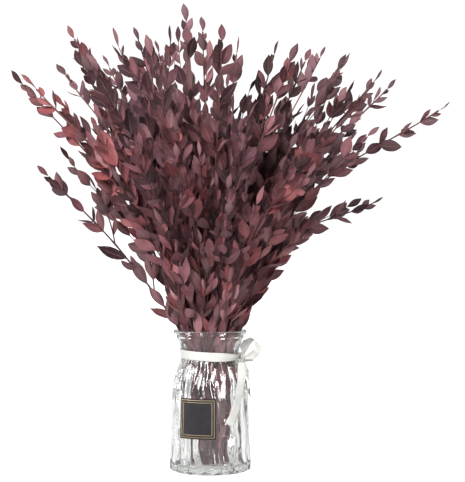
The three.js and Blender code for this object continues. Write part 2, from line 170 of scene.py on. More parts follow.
# %% [markdown]
# ## The camera
# The photo was taken from the front, level with the middle of the bunch. The camera looks along +Y, tilted
# down by one degree, from far enough away that the vase's rim shows as a thin ellipse.

# %% Camera
CAMERA_AT = (0.025, -1.48, 0.280)
CAMERA_TILT = -0.976  # degrees
LONG_SIDE_ANGLE = 20.58  # degrees, over the picture's height

camera = bpy.data.objects.new("camera", bpy.data.cameras.new("camera"))
bpy.context.scene.collection.objects.link(camera)
camera.location = CAMERA_AT
camera.rotation_euler = (math.radians(90 + CAMERA_TILT), 0, 0)
camera.data.angle = math.radians(LONG_SIDE_ANGLE)
bpy.context.scene.camera = camera
print("camera lens", round(camera.data.lens, 1), "mm")

# %% [markdown]
# ## How the stems grow
# The solids were grown by a seeded rule, and the same rule is run again here, so that every leaf of theirs
# has its finer twin in the same place. First the numbers of that rule: the outlines of the glass, the sprays
# that draw the bunch's outline, and the rows of sprays in front of and behind them.

# %% The rule's numbers
VASE_HEIGHT, GLASS_WALL, GLASS_FLOOR = 156, 2.4, 7
FLUTES, FLUTE_DEPTH = 18, 1.6
SEAT_GAP, NECK_Z = 0.3, 128.5
GLASS_OUTLINE = [(43.8, 0), (46.3, 4), (45.1, 27), (43.1, 86), (41.6, 99), (37.4, 113), (32.8, 123)]
GLASS_OUTLINE += [(32.0, 129), (33.3, 135), (36.4, 146), (38.3, 152), (40.4, VASE_HEIGHT)]
FOOT_SPREAD, FOOT_SHIFT, NECK_SPREAD = 20, 6, 25.5
LEAN_LIMIT = (50, 36)
# Lean to the right and to the back, reach from the neck, and the share of the lean halfway.
OUTLINE_SPRAYS = [(-42, -4, 266, 0.8), (-35, 5, 370, 0.7), (-23, -5, 378, 0.6), (-13, 5, 362, 0.6)]
OUTLINE_SPRAYS += [(-4, -4, 367, 0.6), (5, 5, 340, 0.6), (12, -6, 338, 0.6), (18, 4, 346, 0.6)]
OUTLINE_SPRAYS += [(24, -6, 343, 0.6), (31, 3, 355, 0.6), (43, -3, 370, 0.58), (47, 7, 246, 0.42)]
OUTLINE_SPRAYS += [(36, -9, 168, 0.6)]
# Rows: lean to the back, reach, and the leans to the side.
SPRAY_ROWS = [(-17, 346, (-31, -20, -10, 1, 16, 29)), (-30, 285, (-19, -6, 8, 23))]
SPRAY_ROWS += [(16, 380, (-29, -19, -9, -1, 20, 33)), (29, 325, (-16, 5, 34))]
print(len(OUTLINE_SPRAYS) + sum(len(row[2]) for row in SPRAY_ROWS), "sprays")

# %% Seeded draws, the glass's radius and curves
seed = 20460


def between(low, high):
    """The next number of a seeded series, from low to high."""
    global seed
    seed = (seed * 1664525 + 1013904223) % 4294967296
    return low + (high - low) * seed / 4294967296


def smooth(x, low, high):
    t = min(max((x - low) / (high - low), 0), 1)
    return t * t * (3 - 2 * t)


def glass_radius(z):
    return float(np.interp(z, [h for _, h in GLASS_OUTLINE], [r for r, _ in GLASS_OUTLINE]))


def flute_depth(z):
    return FLUTE_DEPTH * (1 - 0.75 * smooth(z, 100, 125)) * (1 - smooth(z, 135, 146))


def inner_radius(z):
    return glass_radius(z) - flute_depth(z) - GLASS_WALL


def cross(a, b):
    return np.array([a[1] * b[2] - a[2] * b[1], a[2] * b[0] - a[0] * b[2], a[0] * b[1] - a[1] * b[0]])


def unit(v):
    return v / math.sqrt(v @ v)


def smooth_curve(points):
    """A curve through the points, from share 0 to share 1."""
    ends = [2 * points[0] - points[1], *points, 2 * points[-1] - points[-2]]

    def at(share):
        place = (len(points) - 1) * share
        span = min(int(place), len(points) - 2)
        t = place - span
        a, b, c, d = ends[span : span + 4]
        out, back = 0.5 * (c - a), 0.5 * (d - b)
        return b + out * t + (3 * c - 3 * b - 2 * out - back) * t**2 + (2 * b - 2 * c + out + back) * t**3

    return at


def direction(curve, share):
    return unit(curve(min(share + 0.0001, 1)) - curve(max(share - 0.0001, 0)))


print("neck", glass_radius(NECK_Z), "inside", round(inner_radius(NECK_Z), 2))

# %% [markdown]
# ## Keeping leaves apart
# Leaves that cut through each other look wrong from close by, and testing mesh against mesh is slow. Guard
# points are enough: each stem, twig and leaf leaves a sparse cloud of points in a grid of cells, and a new
# leaf is kept only where its own points stay clear of the cloud, of the glass and of the model's box.

# %% Guard points
CELL = 3.7  # mm, also how far apart the solids' guards stay
NEARBY = [(a, b, c) for a in (-1, 0, 1) for b in (-1, 0, 1) for c in (-1, 0, 1)]
SOLID_GAPS = (3.7, 2.2)  # from another leafy stem, and from its own
FINE_GAPS = (1.2, 0.9)  # the same, for the leaves that only the looks have
GLASS_CLEARANCE = 1.5
BLADE_GUARDS = [(0.14, 0), (0.28, 0.62), (0.42, 0.8), (0.56, 0.8), (0.7, 0.6), (0.84, 0.3), (0.97, 0)]
GUARD_SPOTS = np.array([(u, v) for u, w in BLADE_GUARDS for v in ((-w, 0, w) if w else (0,))])
guards = {}
low_corner, high_corner = (np.array(corner) / MM for corner in solid_box)


def add_guards(points, owner):
    for x, y, z in points:
        guards.setdefault((x // CELL, y // CELL, z // CELL), []).append((x, y, z, owner))


def is_clear(points, owner, outer, gaps):
    """Whether points stay clear. Only those marked outer have to keep clear of their own leafy stem."""
    if (points < low_corner).any() or (points > high_corner).any():
        return False
    for x, y, z in points:
        if z < VASE_HEIGHT + CELL and math.hypot(x, y) > inner_radius(z) - GLASS_CLEARANCE:
            return False
    for (x, y, z), is_outer in zip(points, outer):
        i, j, k = x // CELL, y // CELL, z // CELL
        for a, b, c in NEARBY:
            for ox, oy, oz, other in guards.get((i + a, j + b, k + c), ()):
                if other == owner and not is_outer:
                    continue
                gap = gaps[other == owner]
                if (x - ox) ** 2 + (y - oy) ** 2 + (z - oz) ** 2 < gap * gap:
                    return False
    return True


print(len(GUARD_SPOTS), "guards to a leaf")

# %% [markdown]
# ## Leafy stems as data
# A stem is a curve with stations on it: places with a direction along, one across and one up. Twigs and
# leaves leave a station by one of its four sides. Eucalyptus carries its leaves in opposite pairs, each pair
# turned a right angle from the last, and ends every shoot in a single leaf.


# %% Stations, sides and leaves
def station_on(curve, share, across):
    along = direction(curve, share)
    across = unit(across - (across @ along) * along)
    return {"share": share, "at": curve(share), "along": along, "across": across, "up": cross(along, across)}


def stations_along(curve, shares, across):
    stations = []
    for share in shares:
        stations.append(station_on(curve, share, across))
        across = stations[-1]["across"]
    return stations


def side_direction(station, side):
    across, up = station["across"], station["up"]
    return [-up, across, up, -across][side % 4]


def outwards_from(station, side, turn):
    """The direction out of a side, turned a little round the stem, and the direction across that."""
    straight = side_direction(station, side)
    sideways = cross(station["along"], straight)
    outwards = straight * math.cos(math.radians(turn)) + sideways * math.sin(math.radians(turn))
    return outwards, cross(station["along"], outwards)


def blade_points(leaf, spots):
    """Points on a leaf's middle surface: how far along it, and how far to the side."""
    u, v = spots[:, 0:1], spots[:, 1:2]
    twist = leaf["roll"] * u
    sideways = leaf["across"] * np.cos(twist) + leaf["face"] * np.sin(twist)
    out = leaf["face"] * np.cos(twist) - leaf["across"] * np.sin(twist)
    lift = -0.06 * leaf["length"] * np.sin(math.pi * u) + 0.2 * np.abs(v) * leaf["half_width"]
    return leaf["root"] + leaf["along"] * u * leaf["length"] + sideways * v * leaf["half_width"] + out * lift


def settle(leaf, owner, gaps):
    """Keeps a leaf and its guards if it is clear."""
    points = blade_points(leaf, GUARD_SPOTS)
    if not is_clear(points, owner, GUARD_SPOTS[:, 0] > 0.3, gaps):
        return None
    add_guards(points, owner)
    return leaf


BLADE_ATTEMPTS = [(0, 36), (28, 30), (-28, 30), (0, 20), (40, 20), (-40, 20)]


def draw_leaf(size):
    length = size * between(23, 33)
    return {"length": length, "half_width": length * between(0.19, 0.33)}


def grow_leaf(station, side, size, owner):
    """A leaf of the solids, out of one side of a station, tried in a few directions."""
    leaf = draw_leaf(size) | {"root": station["at"]}
    extra = between(-4, 10)
    leaf["roll"] = math.radians(between(-70, 70))
    for turn, spread in BLADE_ATTEMPTS:
        outwards, across = outwards_from(station, side, turn)
        lean = math.radians(spread + extra)
        along = station["along"] * math.cos(lean) + outwards * math.sin(lean)
        leaf |= {"along": along, "across": across, "face": cross(along, across)}
        if settle(leaf, owner, SOLID_GAPS):
            return [leaf]
    return []


def grow_tip_leaf(rod, size, owner, gaps=SOLID_GAPS):
    """The single leaf that a rod ends in goes straight on."""
    last = rod["stations"][-1]
    leaf = draw_leaf(size) | {"root": rod["curve"](1), "along": last["along"]}
    leaf |= {"across": last["across"], "face": last["up"], "roll": math.radians(between(-40, 40))}
    leaf["is_tip"] = True
    return [leaf] if settle(leaf, owner, gaps) else []


print("a leaf is tried in", len(BLADE_ATTEMPTS), "directions")


# %% Stems and twigs
def lean_direction(side, depth):
    return unit(np.array([math.tan(math.radians(side)), math.tan(math.radians(depth)), 1]))


def stem_curve(side, depth, reach, bend):
    """Up through the vase in its own place, then outwards from the neck to its own lean."""
    place = np.array([side / LEAN_LIMIT[0], depth / LEAN_LIMIT[1]])
    place /= max(1, math.hypot(*place))
    foot = np.array([place[0] * FOOT_SPREAD + FOOT_SHIFT, place[1] * FOOT_SPREAD, GLASS_FLOOR + SEAT_GAP])
    neck = np.array([*(place * NECK_SPREAD), NECK_Z])
    halfway = lean_direction(bend * side, bend * depth) * 0.5 * reach + neck
    tip = lean_direction(side, depth) * reach + np.array([0, 0, NECK_Z])
    return smooth_curve([foot, neck, halfway, tip])


def twig_curve(station, outwards, length, leans):
    """Leaves its stem at the first lean and ends at the second, closer to the stem's own direction."""
    start, along = station["at"], station["along"]
    lean = [start + r * (along * math.cos(math.radians(a)) + outwards * math.sin(math.radians(a)))
            for a, r in zip(leans, (0.5 * length, length))]
    return lambda t: (1 - t) ** 2 * start + 2 * t * (1 - t) * lean[0] + t * t * lean[1]


def along_rod(curve, steps):
    return np.array([curve(i / steps) for i in range(steps + 1)])


def sides_to_try(station, lowest):
    first = int(between(0, 4))
    return [s for s in ((first + i) % 4 for i in range(4)) if side_direction(station, s)[2] > lowest]


def grow_twig(station, length, owner, gaps=SOLID_GAPS, lowest=-0.25, leans=(36, 25)):
    """A twig out of any side that doesn't face too far down, where it is clear."""
    for side in sides_to_try(station, lowest):
        for turn in (0, 25, -25):
            outwards, across = outwards_from(station, side, turn)
            curve = twig_curve(station, outwards, length, leans)
            points = along_rod(curve, round(length / 3))
            if not is_clear(points, owner, [False] * len(points), gaps):
                continue
            add_guards(points, owner)
            pairs = [0.42, 0.74] if length > 85 else [0.55]
            twig = {"curve": curve, "length": length, "radius": (0.8, 0.6), "pairs": pairs}
            return [twig | {"stations": stations_along(curve, [0.04, *pairs, 1], across)}]
    return []


def grow_pairs(rod, size, owner):
    """The leaves that the solids have too."""
    first, leaves = int(between(0, 2)), []
    for i, station in enumerate(s for s in rod["stations"] if s["share"] in rod["pairs"]):
        for side in (0, 2):
            taper = 1 - 0.25 * station["share"]
            leaves += grow_leaf(station, (first + i + side) % 4, size * taper, owner)
    return leaves + grow_tip_leaf(rod, 0.72 * size, owner)


# %% Grow what the solids have
def make_stem(number, side, depth, reach, bend):
    curve = stem_curve(side, depth, reach, bend)
    turn = between(0, math.pi)
    pairs = [0.43, 0.62, 0.77, 0.85, 0.93] if reach > 300 else [0.44, 0.62, 0.79, 0.91]
    pairs = [share + between(-0.02, 0.02) for share in pairs]
    twigs = [share + between(-0.02, 0.02) for share in (0.545, 0.7)]
    shares = sorted([0, 0.17, 0.31, *twigs, *pairs, 1])
    stem = {"name": f"leafy_stem_{number:02d}", "curve": curve, "reach": reach, "radius": (1.4, 0.75)}
    stations = stations_along(curve, shares, np.array([math.cos(turn), math.sin(turn), 0]))
    return stem | {"pairs": pairs, "twig_shares": twigs, "stations": stations}


sprays = list(OUTLINE_SPRAYS)
for depth, reach, sides in SPRAY_ROWS:
    for side in sides:
        sprays.append((side + between(-1.5, 1.5), depth + between(-3, 3), reach * between(0.94, 1.02), 0.6))
stems = [make_stem(i + 1, *spray) for i, spray in enumerate(sprays)]
for stem in stems:
    add_guards(along_rod(stem["curve"], 150), stem["name"])
for stem in stems:
    stem["twigs"] = []
    low, high = sorted(stem["twig_shares"])
    for share, reach in ((low, 0.36), (high, 0.25)):
        station = next(s for s in stem["stations"] if s["share"] == share)
        stem["twigs"] += grow_twig(station, reach * stem["reach"] * between(0.85, 1.1), stem["name"])
for stem in stems:
    stem["leaves"] = [leaf for twig in stem["twigs"] for leaf in grow_pairs(twig, 0.92, stem["name"])]
    stem["leaves"] += grow_pairs(stem, 1, stem["name"])
leaf_count = sum(len(stem["leaves"]) for stem in stems)
twig_count = sum(len(stem["twigs"]) for stem in stems)
print(leaf_count, "leaves as in the solids,", twig_count, "twigs")

# %% [markdown]
# ## More leaves than the solids have
# The solids carry a few hundred leaves, but a real bunch carries thousands. The rest grow here by the same
# means with closer gaps: thin twigs first, since they need the longest free way, then a pair of leaves about
# every two centimetres along every stem and twig, and further apart in the open sprays, from inside the vase
# up to the tips. Low down the leaves hug their stems, because the neck of the vase holds them together.

# %% Where the bunch is full
FULL_LEANS = [-42, -34, -28, -20, -16, -7, 0, 5, 12, 20, 30, 37, 43]  # degrees to the right of upright
FULL_REACHES = [75, 190, 245, 300, 325, 325, 265, 230, 265, 220, 270, 280, 85]  # mm from the neck


def openness(point):
    """0 in the full middle of the bunch, 1 out in its open sprays."""
    x, z = point[0], point[2] - NECK_Z
    reach = math.hypot(x, z)
    full = float(np.interp(math.degrees(math.atan2(x, z)), FULL_LEANS, FULL_REACHES))
    return smooth(reach, full - 55, full + 20) if z > 0 else 0


print("openness: left tip", round(openness((-200, 0, 400)), 2), "and middle", openness((0, 0, 300)))

# %% Fine twigs
TWIG_SIZES = (1, 0.7, 0.45)  # a twig that finds no room is tried shorter


def steps_along(rod, start, end, spacing):
    """Shares of a rod from start to mm before its end, at a spacing that depends on the place."""
    points = along_rod(rod["curve"], 80)
    lengths = np.concatenate([[0], np.cumsum(np.linalg.norm(np.diff(points, axis=0), axis=1))])
    steps = np.linspace(0, 1, len(lengths))
    at, shares = float(np.interp(start, steps, lengths)), []
    while at < lengths[-1] - end:
        shares.append(float(np.interp(at, lengths, steps)))
        at += spacing(rod["curve"](shares[-1])) * between(0.8, 1.2)
    return shares, lengths[-1]


def fine_station(rod, share):
    below = [s for s in rod["stations"] if s["share"] <= share] or rod["stations"][:1]
    return station_on(rod["curve"], share, below[-1]["across"])


def grow_fine_twigs(stem):
    """Fine twigs run nearly beside their stem, and the open sprays have none."""
    shares, whole = steps_along(stem, 0.32, 26, lambda point: 34)
    for share in shares:
        length = min(stem["reach"] * between(0.18, 0.36), (1 - share) * whole * 1.05 + 6)
        station, leans = fine_station(stem, share), (between(18, 40), between(8, 24))
        if openness(station["at"]) > between(0.2, 0.9):
            continue
        for smaller in TWIG_SIZES:
            found = grow_twig(station, length * smaller, stem["name"], FINE_GAPS, -0.75, leans)
            if found:
                stem["twigs"].append(found[0] | {"is_fine": True, "radius": (0.6, 0.4)})
                break


for stem in stems:
    grow_fine_twigs(stem)
print(sum(len(stem["twigs"]) for stem in stems), "twigs")

# %% In-between leaves
LEAVES_FROM_Z = 24  # the lowest leaves, inside the vase
NARROWER = (0.6, 0.88)  # fine leaves, next to those that the solids have
TIP_PAIRS = [(22, 0.8), (10, 0.55)]  # mm from the tip, and size


def pair_spacing(point):
    return 19 + 2 * smooth(point[2], 180, 260) + 16 * openness(point)


def shown_side(point):
    """Where a leaf's face looks: mostly to the front or the back, as in a bunch that was packed flat."""
    front = -1 if point[1] < between(-60, 60) else 1
    return np.array([0.004 * point[0] + between(-0.7, 0.7), front, between(-0.5, 0.7)])


def grow_fine_leaf(station, side, size, owner, turned, closer):
    """A leaf that lies close to its stem, with its broad face in view."""
    leaf = draw_leaf(size) | {"root": station["at"], "roll": math.radians(between(-30, 30))}
    leaf["half_width"] *= between(*NARROWER) * (1 - 0.2 * (1 - smooth(station["at"][2], 190, 300)))
    shown = shown_side(station["at"])
    for turn, spread in BLADE_ATTEMPTS:
        outwards, _ = outwards_from(station, side, turn + turned)
        lean = math.radians(max(spread - closer, 4))
        along = station["along"] * math.cos(lean) + outwards * math.sin(lean)
        across = unit(cross(shown, along))
        leaf |= {"along": along, "across": across, "face": cross(along, across)}
        if settle(leaf, owner, FINE_GAPS):
            return [leaf]
    return []


def grow_fine_pair(rod, share, size, owner, closer):
    station = fine_station(rod, share)
    side, turned = int(between(0, 2)), between(20, 70)
    leaves = grow_fine_leaf(station, side, size * between(0.85, 1.1), owner, turned, closer)
    if between(0, 1) > 0.25 + 0.3 * openness(station["at"]):
        leaves += grow_fine_leaf(station, side + 2, size, owner, turned, closer + between(-6, 6))
    return leaves


def fill_rod(rod, size, start, owner):
    leaves = []
    shares, whole = steps_along(rod, start, 30, pair_spacing)
    for share in shares:
        z = rod["curve"](share)[2]
        if z > LEAVES_FROM_Z and (z > 100 or between(0, 1) < 0.6):
            closer = between(4, 20) + 6 * (1 - smooth(z, 170, 280))
            leaves += grow_fine_pair(rod, share, size * (1 - 0.18 * share**3), owner, closer)
    for back, small in TIP_PAIRS:
        if back < 0.6 * whole:
            leaves += grow_fine_pair(rod, 1 - back / whole, small, owner, 12)
    return leaves


for stem in stems:
    for twig in stem["twigs"]:
        size = between(0.9, 1.12)
        stem["leaves"] += fill_rod(twig, size, 0.14, stem["name"])
        if twig.get("is_fine"):
            stem["leaves"] += grow_tip_leaf(twig, 0.75 * size, stem["name"], FINE_GAPS)
for stem in stems:
    stem["leaves"] += fill_rod(stem, 1.12, 0.06, stem["name"])
leaf_count = sum(len(stem["leaves"]) for stem in stems)
print(leaf_count, "leaves")

# %% [markdown]
# ## Leaf patterns
# Every leaf is a copy of one of a few patterns: oval, narrow or round, each with its own twist and curl. A
# pattern is one unit long and half a unit to each side of its rib, so a copy's scale is the leaf's own size.
# It is closed, with two faces that meet in a sharp rim, and has a few dozen faces, because there are
# thousands of copies. Its UV map runs across and along the leaf, and sits two units further on for the
# underside, so that the finish can tell the two apart.

# %% Leaf patterns
ROWS = [0, 0.06, 0.15, 0.28, 0.44, 0.6, 0.76, 0.9, 1]
NARROW = [0.08, 0.10, 0.36, 0.70, 0.96, 1.0, 0.74, 0.32, 0]
OVAL = [0.07, 0.12, 0.46, 0.80, 1.0, 0.98, 0.70, 0.30, 0]
ROUND = [0.06, 0.18, 0.64, 0.92, 1.0, 0.96, 0.74, 0.38, 0]
PATTERNS = [  # outline, twist in degrees, curl of the tip, fold along the rib, and sweep to the side
    (NARROW, 26, 0.12, 0.05, 0.35),
    (NARROW, -22, -0.06, 0.07, -0.4),
    (NARROW, 10, 0.18, 0.04, 0.1),
    (NARROW, -34, 0.05, 0.08, 0.3),
    (OVAL, 12, 0.05, 0.05, 0.3),
    (OVAL, -16, -0.08, 0.06, -0.35),
    (OVAL, -30, 0.10, 0.04, 0),
    (OVAL, 22, 0.16, 0.07, 0.15),
    (ROUND, 8, 0.06, 0.03, 0.1),
    (ROUND, -12, -0.07, 0.05, -0.2),
    (ROUND, 20, 0.12, 0.06, 0.15),
]
FIRST_AND_COUNT = [(0, 4), (4, 4), (8, 3)]  # narrow, oval and round
COLUMNS = (-1, -0.5, 0, 0.5, 1)
LEAF_THICKNESS = 0.014  # of its length, at the rib


def pattern_point(outline, row, v, twist, curl, fold, sweep, layer):
    u, w = ROWS[row], outline[row]
    turn = math.radians(twist) * (u - 0.45)
    ripple = 0.012 * math.sin(9 * u + 2 * v) * abs(v)
    x = v * w + sweep * (u * u - 0.3 * u)
    z = -0.055 * math.sin(math.pi * u) + curl * max(0, u - 0.45) ** 1.5 + fold * abs(v) * w + ripple
    z += layer * LEAF_THICKNESS * (1 - abs(v)) * (1 - u**4)
    slim = 0.26  # what a unit across is worth in units along, for the twist
    return (x * math.cos(turn) - z / slim * math.sin(turn), u, z * math.cos(turn) + x * slim * math.sin(turn))


def make_pattern(number, outline, twist, curl, fold, sweep):
    index, points, faces, places = {}, [], [], []

    def corner(row, v, layer):
        """A point's number. The two faces share the points of the rim and of the stalk's end."""
        is_tip = row == len(ROWS) - 1
        is_rim = is_tip or row == 0 or abs(v) == 1
        key = (row, 0 if is_tip else v, 0 if is_rim else layer)
        if key not in index:
            index[key] = len(points)
            points.append(pattern_point(outline, row, key[1], twist, curl, fold, sweep, key[2]))
        return index[key]

    for layer in (1, -1):
        for row in range(len(ROWS) - 1):
            for left, right in zip(COLUMNS, COLUMNS[1:]):
                spots = [(row, left), (row, right), (row + 1, right), (row + 1, left)][::layer]
                face = [corner(r, v, layer) for r, v in spots]
                kept = [i for i in range(4) if face[i] not in face[:i]]
                faces.append([face[i] for i in kept])
                shift = 2 if layer < 0 else 0
                places += [(0.5 + 0.5 * spots[i][1] + shift, ROWS[spots[i][0]]) for i in kept]
    mesh = bpy.data.meshes.new(f"leaf_pattern_{number}")
    mesh.from_pydata(points, [], faces)
    mesh.uv_layers.new(name="leaf").data.foreach_set("uv", np.array(places).ravel())
    mesh.shade_smooth()
    rim = {i for key, i in index.items() if key[2] == 0}
    for edge in mesh.edges:
        edge.use_edge_sharp = edge.vertices[0] in rim and edge.vertices[1] in rim
    return bpy.data.objects.new(mesh.name, mesh)


leaf_patterns = bpy.data.collections.new("leaf_patterns")
for number, pattern in enumerate(PATTERNS):
    leaf_patterns.objects.link(make_pattern(number, *pattern))

# %% [markdown]
# ## Finishes of the plant
# Dried and dyed eucalyptus is matte, plum brown on one leaf and dusty mauve or rust on the next, paler and
# greyer underneath, with a fine rib and faint side veins. One finish serves all leaves: it reads each leaf's
# own tone from an attribute, its veins from the leaf's UV map, and its mottling from Object coordinates. A
# second attribute warms some stems to rust and cools others to mauve.


# %% Leaf finish
def new_finish(name, **constants):
    """A material with one Principled shader, its constants set on their own sockets."""
    material = bpy.data.materials.new(name)
    material.use_nodes = True
    desk = Desk(material.node_tree)
    desk.tree.nodes.clear()
    shader = desk.tree.nodes.new("ShaderNodeBsdfPrincipled")
    desk.node("ShaderNodeOutputMaterial", {}, {"Surface": Wire(desk, shader.outputs[0])})
    for socket, value in constants.items():
        shader.inputs[socket.replace("_", " ")].default_value = value
    desk.material, desk.shader = material, shader
    return desk


def connect(desk, **wires):
    for socket, wire in wires.items():
        desk.tree.links.new(wire.socket, desk.shader.inputs[socket.replace("_", " ")])


def mottle(desk, scale, detail=3):
    """Noise in Object coordinates, from 0 to 1, with scale spots to the metre."""
    spot = desk.node("ShaderNodeTexCoord")[3]
    return desk.node("ShaderNodeTexNoise", {}, {"Vector": spot, "Scale": scale, "Detail": detail})[0]


LEAF_TONES = [
    (0.0, (0.022, 0.010, 0.014)),
    (0.25, (0.072, 0.027, 0.034)),
    (0.5, (0.158, 0.062, 0.074)),
    (0.7, (0.255, 0.104, 0.120)),
    (0.85, (0.335, 0.152, 0.168)),
    (1.0, (0.420, 0.220, 0.234)),
]


def tinted(desk, colour, tint):
    """A colour times a tint."""
    return desk.node("ShaderNodeVectorMath", {"operation": "MULTIPLY"}, {0: colour, 1: tint})[0]


def make_leaf_finish():
    desk = new_finish("dried_leaf", Roughness=0.6, Specular_IOR_Level=0.14)
    place = desk.node("ShaderNodeUVMap", {"uv_map": "leaf"})[0]
    across, along, _ = desk.node("ShaderNodeSeparateXYZ", {}, {0: place})
    is_under = desk.step(across, 1.4, 1.6)
    off_rib = abs(across - is_under * 2 - 0.5) * 2
    rib = 1 - desk.step(off_rib, 0.03, 0.11)
    slant = (along * 11 - off_rib * 2.6).maths("FRACT")
    vein = 1 - desk.step(abs(slant - 0.5), 0.03, 0.16)
    tone = desk.node("ShaderNodeAttribute", {"attribute_name": "leaf_tone"})[2]
    patches, grain = mottle(desk, 90), mottle(desk, 900, 4)
    shade = tone + (patches - 0.5) * 0.35 + (grain - 0.5) * 0.2
    colour = desk.node("ShaderNodeValToRGB", {"stops": LEAF_TONES}, {0: shade})[0]
    warmth = desk.node("ShaderNodeAttribute", {"attribute_name": "leaf_warmth"})[2]
    colour = desk.mix(desk.step(warmth, 0.5, 1.1), colour, tinted(desk, colour, (1.14, 0.70, 0.64)))
    colour = desk.mix(1 - desk.step(warmth, -0.1, 0.5), colour, tinted(desk, colour, (0.84, 1.02, 1.16)))
    colour = desk.mix(is_under * 0.35, colour, (0.26, 0.150, 0.160))
    colour = desk.mix(rib * 0.22 + vein * 0.08, colour, (0.42, 0.22, 0.19))
    rim = desk.step(off_rib, 0.86, 1.0)
    colour = desk.mix(rim * 0.5, colour, (0.05, 0.022, 0.026))
    height = grain * 0.5 - vein * 0.5 - rib * 0.8
    bump = desk.node("ShaderNodeBump", {}, {"Strength": 0.4, "Distance": 0.0003, "Height": height})[0]
    connect(desk, Base_Color=colour, Roughness=grain * 0.25 + 0.5, Normal=bump)
    return desk.material


leaf_finish = make_leaf_finish()
print(leaf_finish.name)

# %% [markdown]
# The stems are thin and woody, red-brown where they are young and greyer down in the vase. Down in the vase
# their colour is also painted lighter: painted light that stands in for the lamp light the glass keeps out.
# Their bark has fine lengthwise grain, so its noise is stretched upwards. Each stem keeps a tone of its own,
# so that single stems can be told apart in the vase.


# %% Bark finish
def make_bark_finish():
    desk = new_finish("dried_bark", Roughness=0.62, Specular_IOR_Level=0.3)
    spot = desk.node("ShaderNodeTexCoord")[3]
    stretched = desk.node("ShaderNodeMapping", {}, {"Vector": spot, "Scale": (900, 900, 90)})[0]
    grain = desk.node("ShaderNodeTexNoise", {}, {"Vector": stretched, "Scale": 1.0, "Detail": 3.0})[0]
    height = desk.node("ShaderNodeSeparateXYZ", {}, {0: spot})[2]
    # Older bark, and painted light as well: low in the vase the bark turns a lighter mauve, standing in for
    # the lamp light that the glass keeps out.
    age_and_vase_light = 1 - desk.step(height, 0.03, 0.2)
    tone = desk.node("ShaderNodeAttribute", {"attribute_name": "leaf_tone"})[2]
    shade = desk.step(tone + (grain - 0.5) * 0.25, 0.28, 0.62)
    young = desk.mix(shade, (0.040, 0.014, 0.015), (0.20, 0.070, 0.066))
    old_bark_painted_lighter = desk.mix(shade, (0.022, 0.011, 0.013), (0.25, 0.120, 0.130))
    colour = desk.mix(age_and_vase_light, young, old_bark_painted_lighter)
    bump = desk.node("ShaderNodeBump", {}, {"Strength": 0.5, "Distance": 0.0003, "Height": grain})[0]
    connect(desk, Base_Color=colour, Normal=bump)
    return desk.material


bark_finish = make_bark_finish()
print(bark_finish.name)

# %% [markdown]
# ## Leafy stems by Geometry Nodes
# A host mesh carries the data: a line of points for each stem and twig with its radius, and a loose point for
# each leaf with its pattern, turn, size and tone. One tree sweeps a round section along the lines and copies
# a pattern to every leaf point. It serves all 32 stems.


# %% The tree
def new_shape_tree(name, inputs):
    """A Geometry Nodes tree with named inputs, its desk and its input wires."""
    tree = bpy.data.node_groups.new(name, "GeometryNodeTree")
    tree.interface.new_socket("Geometry", in_out="OUTPUT", socket_type="NodeSocketGeometry")
    tree.interface.new_socket("Geometry", in_out="INPUT", socket_type="NodeSocketGeometry")
    for label, kind in inputs.items():
        tree.interface.new_socket(label, in_out="INPUT", socket_type=f"NodeSocket{kind}")
    desk = Desk(tree)
    wires = desk.node("NodeGroupInput")
    return desk, dict(zip(["Geometry", *inputs], wires))


def finish_tree(desk, geometry):
    desk.node("NodeGroupOutput", {}, {0: geometry})
    return desk.tree


def named(desk, name, kind="FLOAT"):
    return desk.node("GeometryNodeInputNamedAttribute", {"data_type": kind}, {"Name": name})[0]


def make_stem_tree():
    kinds = {"Leaf patterns": "Collection", "Leaf finish": "Material", "Bark finish": "Material"}
    kinds |= {"Sides": "Int"}
    desk, given = new_shape_tree("leafy_stem", kinds)
    line = desk.node("GeometryNodeMeshToCurve", {}, {"Mesh": given["Geometry"]})[0]
    circle = {"Resolution": given["Sides"], "Radius": 1.0}
    section = desk.node("GeometryNodeCurvePrimitiveCircle", {}, circle)[0]
    swept = {"Curve": line, "Profile Curve": section, "Scale": named(desk, "rod_radius"), "Fill Caps": True}
    sweep = desk.node("GeometryNodeCurveToMesh", {}, swept)[0]
    bark = desk.node("GeometryNodeSetMaterial", {}, {"Geometry": sweep, "Material": given["Bark finish"]})[0]
    split = {"Collection": given["Leaf patterns"], "Separate Children": True, "Reset Children": True}
    patterns = desk.node("GeometryNodeCollectionInfo", {}, split)[0]
    pattern = named(desk, "leaf_pattern", "INT")
    copied = {"Points": given["Geometry"], "Selection": pattern + 1, "Instance": patterns}
    copied |= {"Pick Instance": True, "Instance Index": pattern}
    copied |= {"Rotation": named(desk, "leaf_turn", "QUATERNION")}
    copied |= {"Scale": named(desk, "leaf_size", "FLOAT_VECTOR")}
    leaves = desk.node("GeometryNodeInstanceOnPoints", {}, copied)[0]
    leaves = desk.node("GeometryNodeRealizeInstances", {}, {"Geometry": leaves})[0]
    dyed = {"Geometry": leaves, "Material": given["Leaf finish"]}
    leaves = desk.node("GeometryNodeSetMaterial", {}, dyed)[0]
    joined = desk.tree.nodes.new("GeometryNodeJoinGeometry")
    for wire in (bark, leaves):
        desk.tree.links.new(wire.socket, joined.inputs[0])
    return finish_tree(desk, Wire(desk, joined.outputs[0]))


def shaped(host, tree, inputs, drop=()):
    """Gives the host the tree with these inputs, and turns the result into a plain mesh."""
    modifier = host.modifiers.new(tree.name, "NODES")
    modifier.node_group = tree
    for item in tree.interface.items_tree:
        if item.in_out == "INPUT" and item.name in inputs:
            modifier[item.identifier] = inputs[item.name]
    if host.name not in bpy.context.scene.collection.objects:
        bpy.context.scene.collection.objects.link(host)
    graph = bpy.context.evaluated_depsgraph_get()
    result = host.evaluated_get(graph)
    mesh = bpy.data.meshes.new_from_object(result, preserve_all_data_layers=True, depsgraph=graph)
    host.modifiers.clear()
    mesh.name = host.name
    host.data = mesh
    for name in drop:
        mesh.attributes.remove(mesh.attributes[name])
    while None in list(mesh.materials):
        mesh.materials.pop(index=list(mesh.materials).index(None))
    return host


stem_tree = make_stem_tree()
print(len(stem_tree.nodes), "nodes")

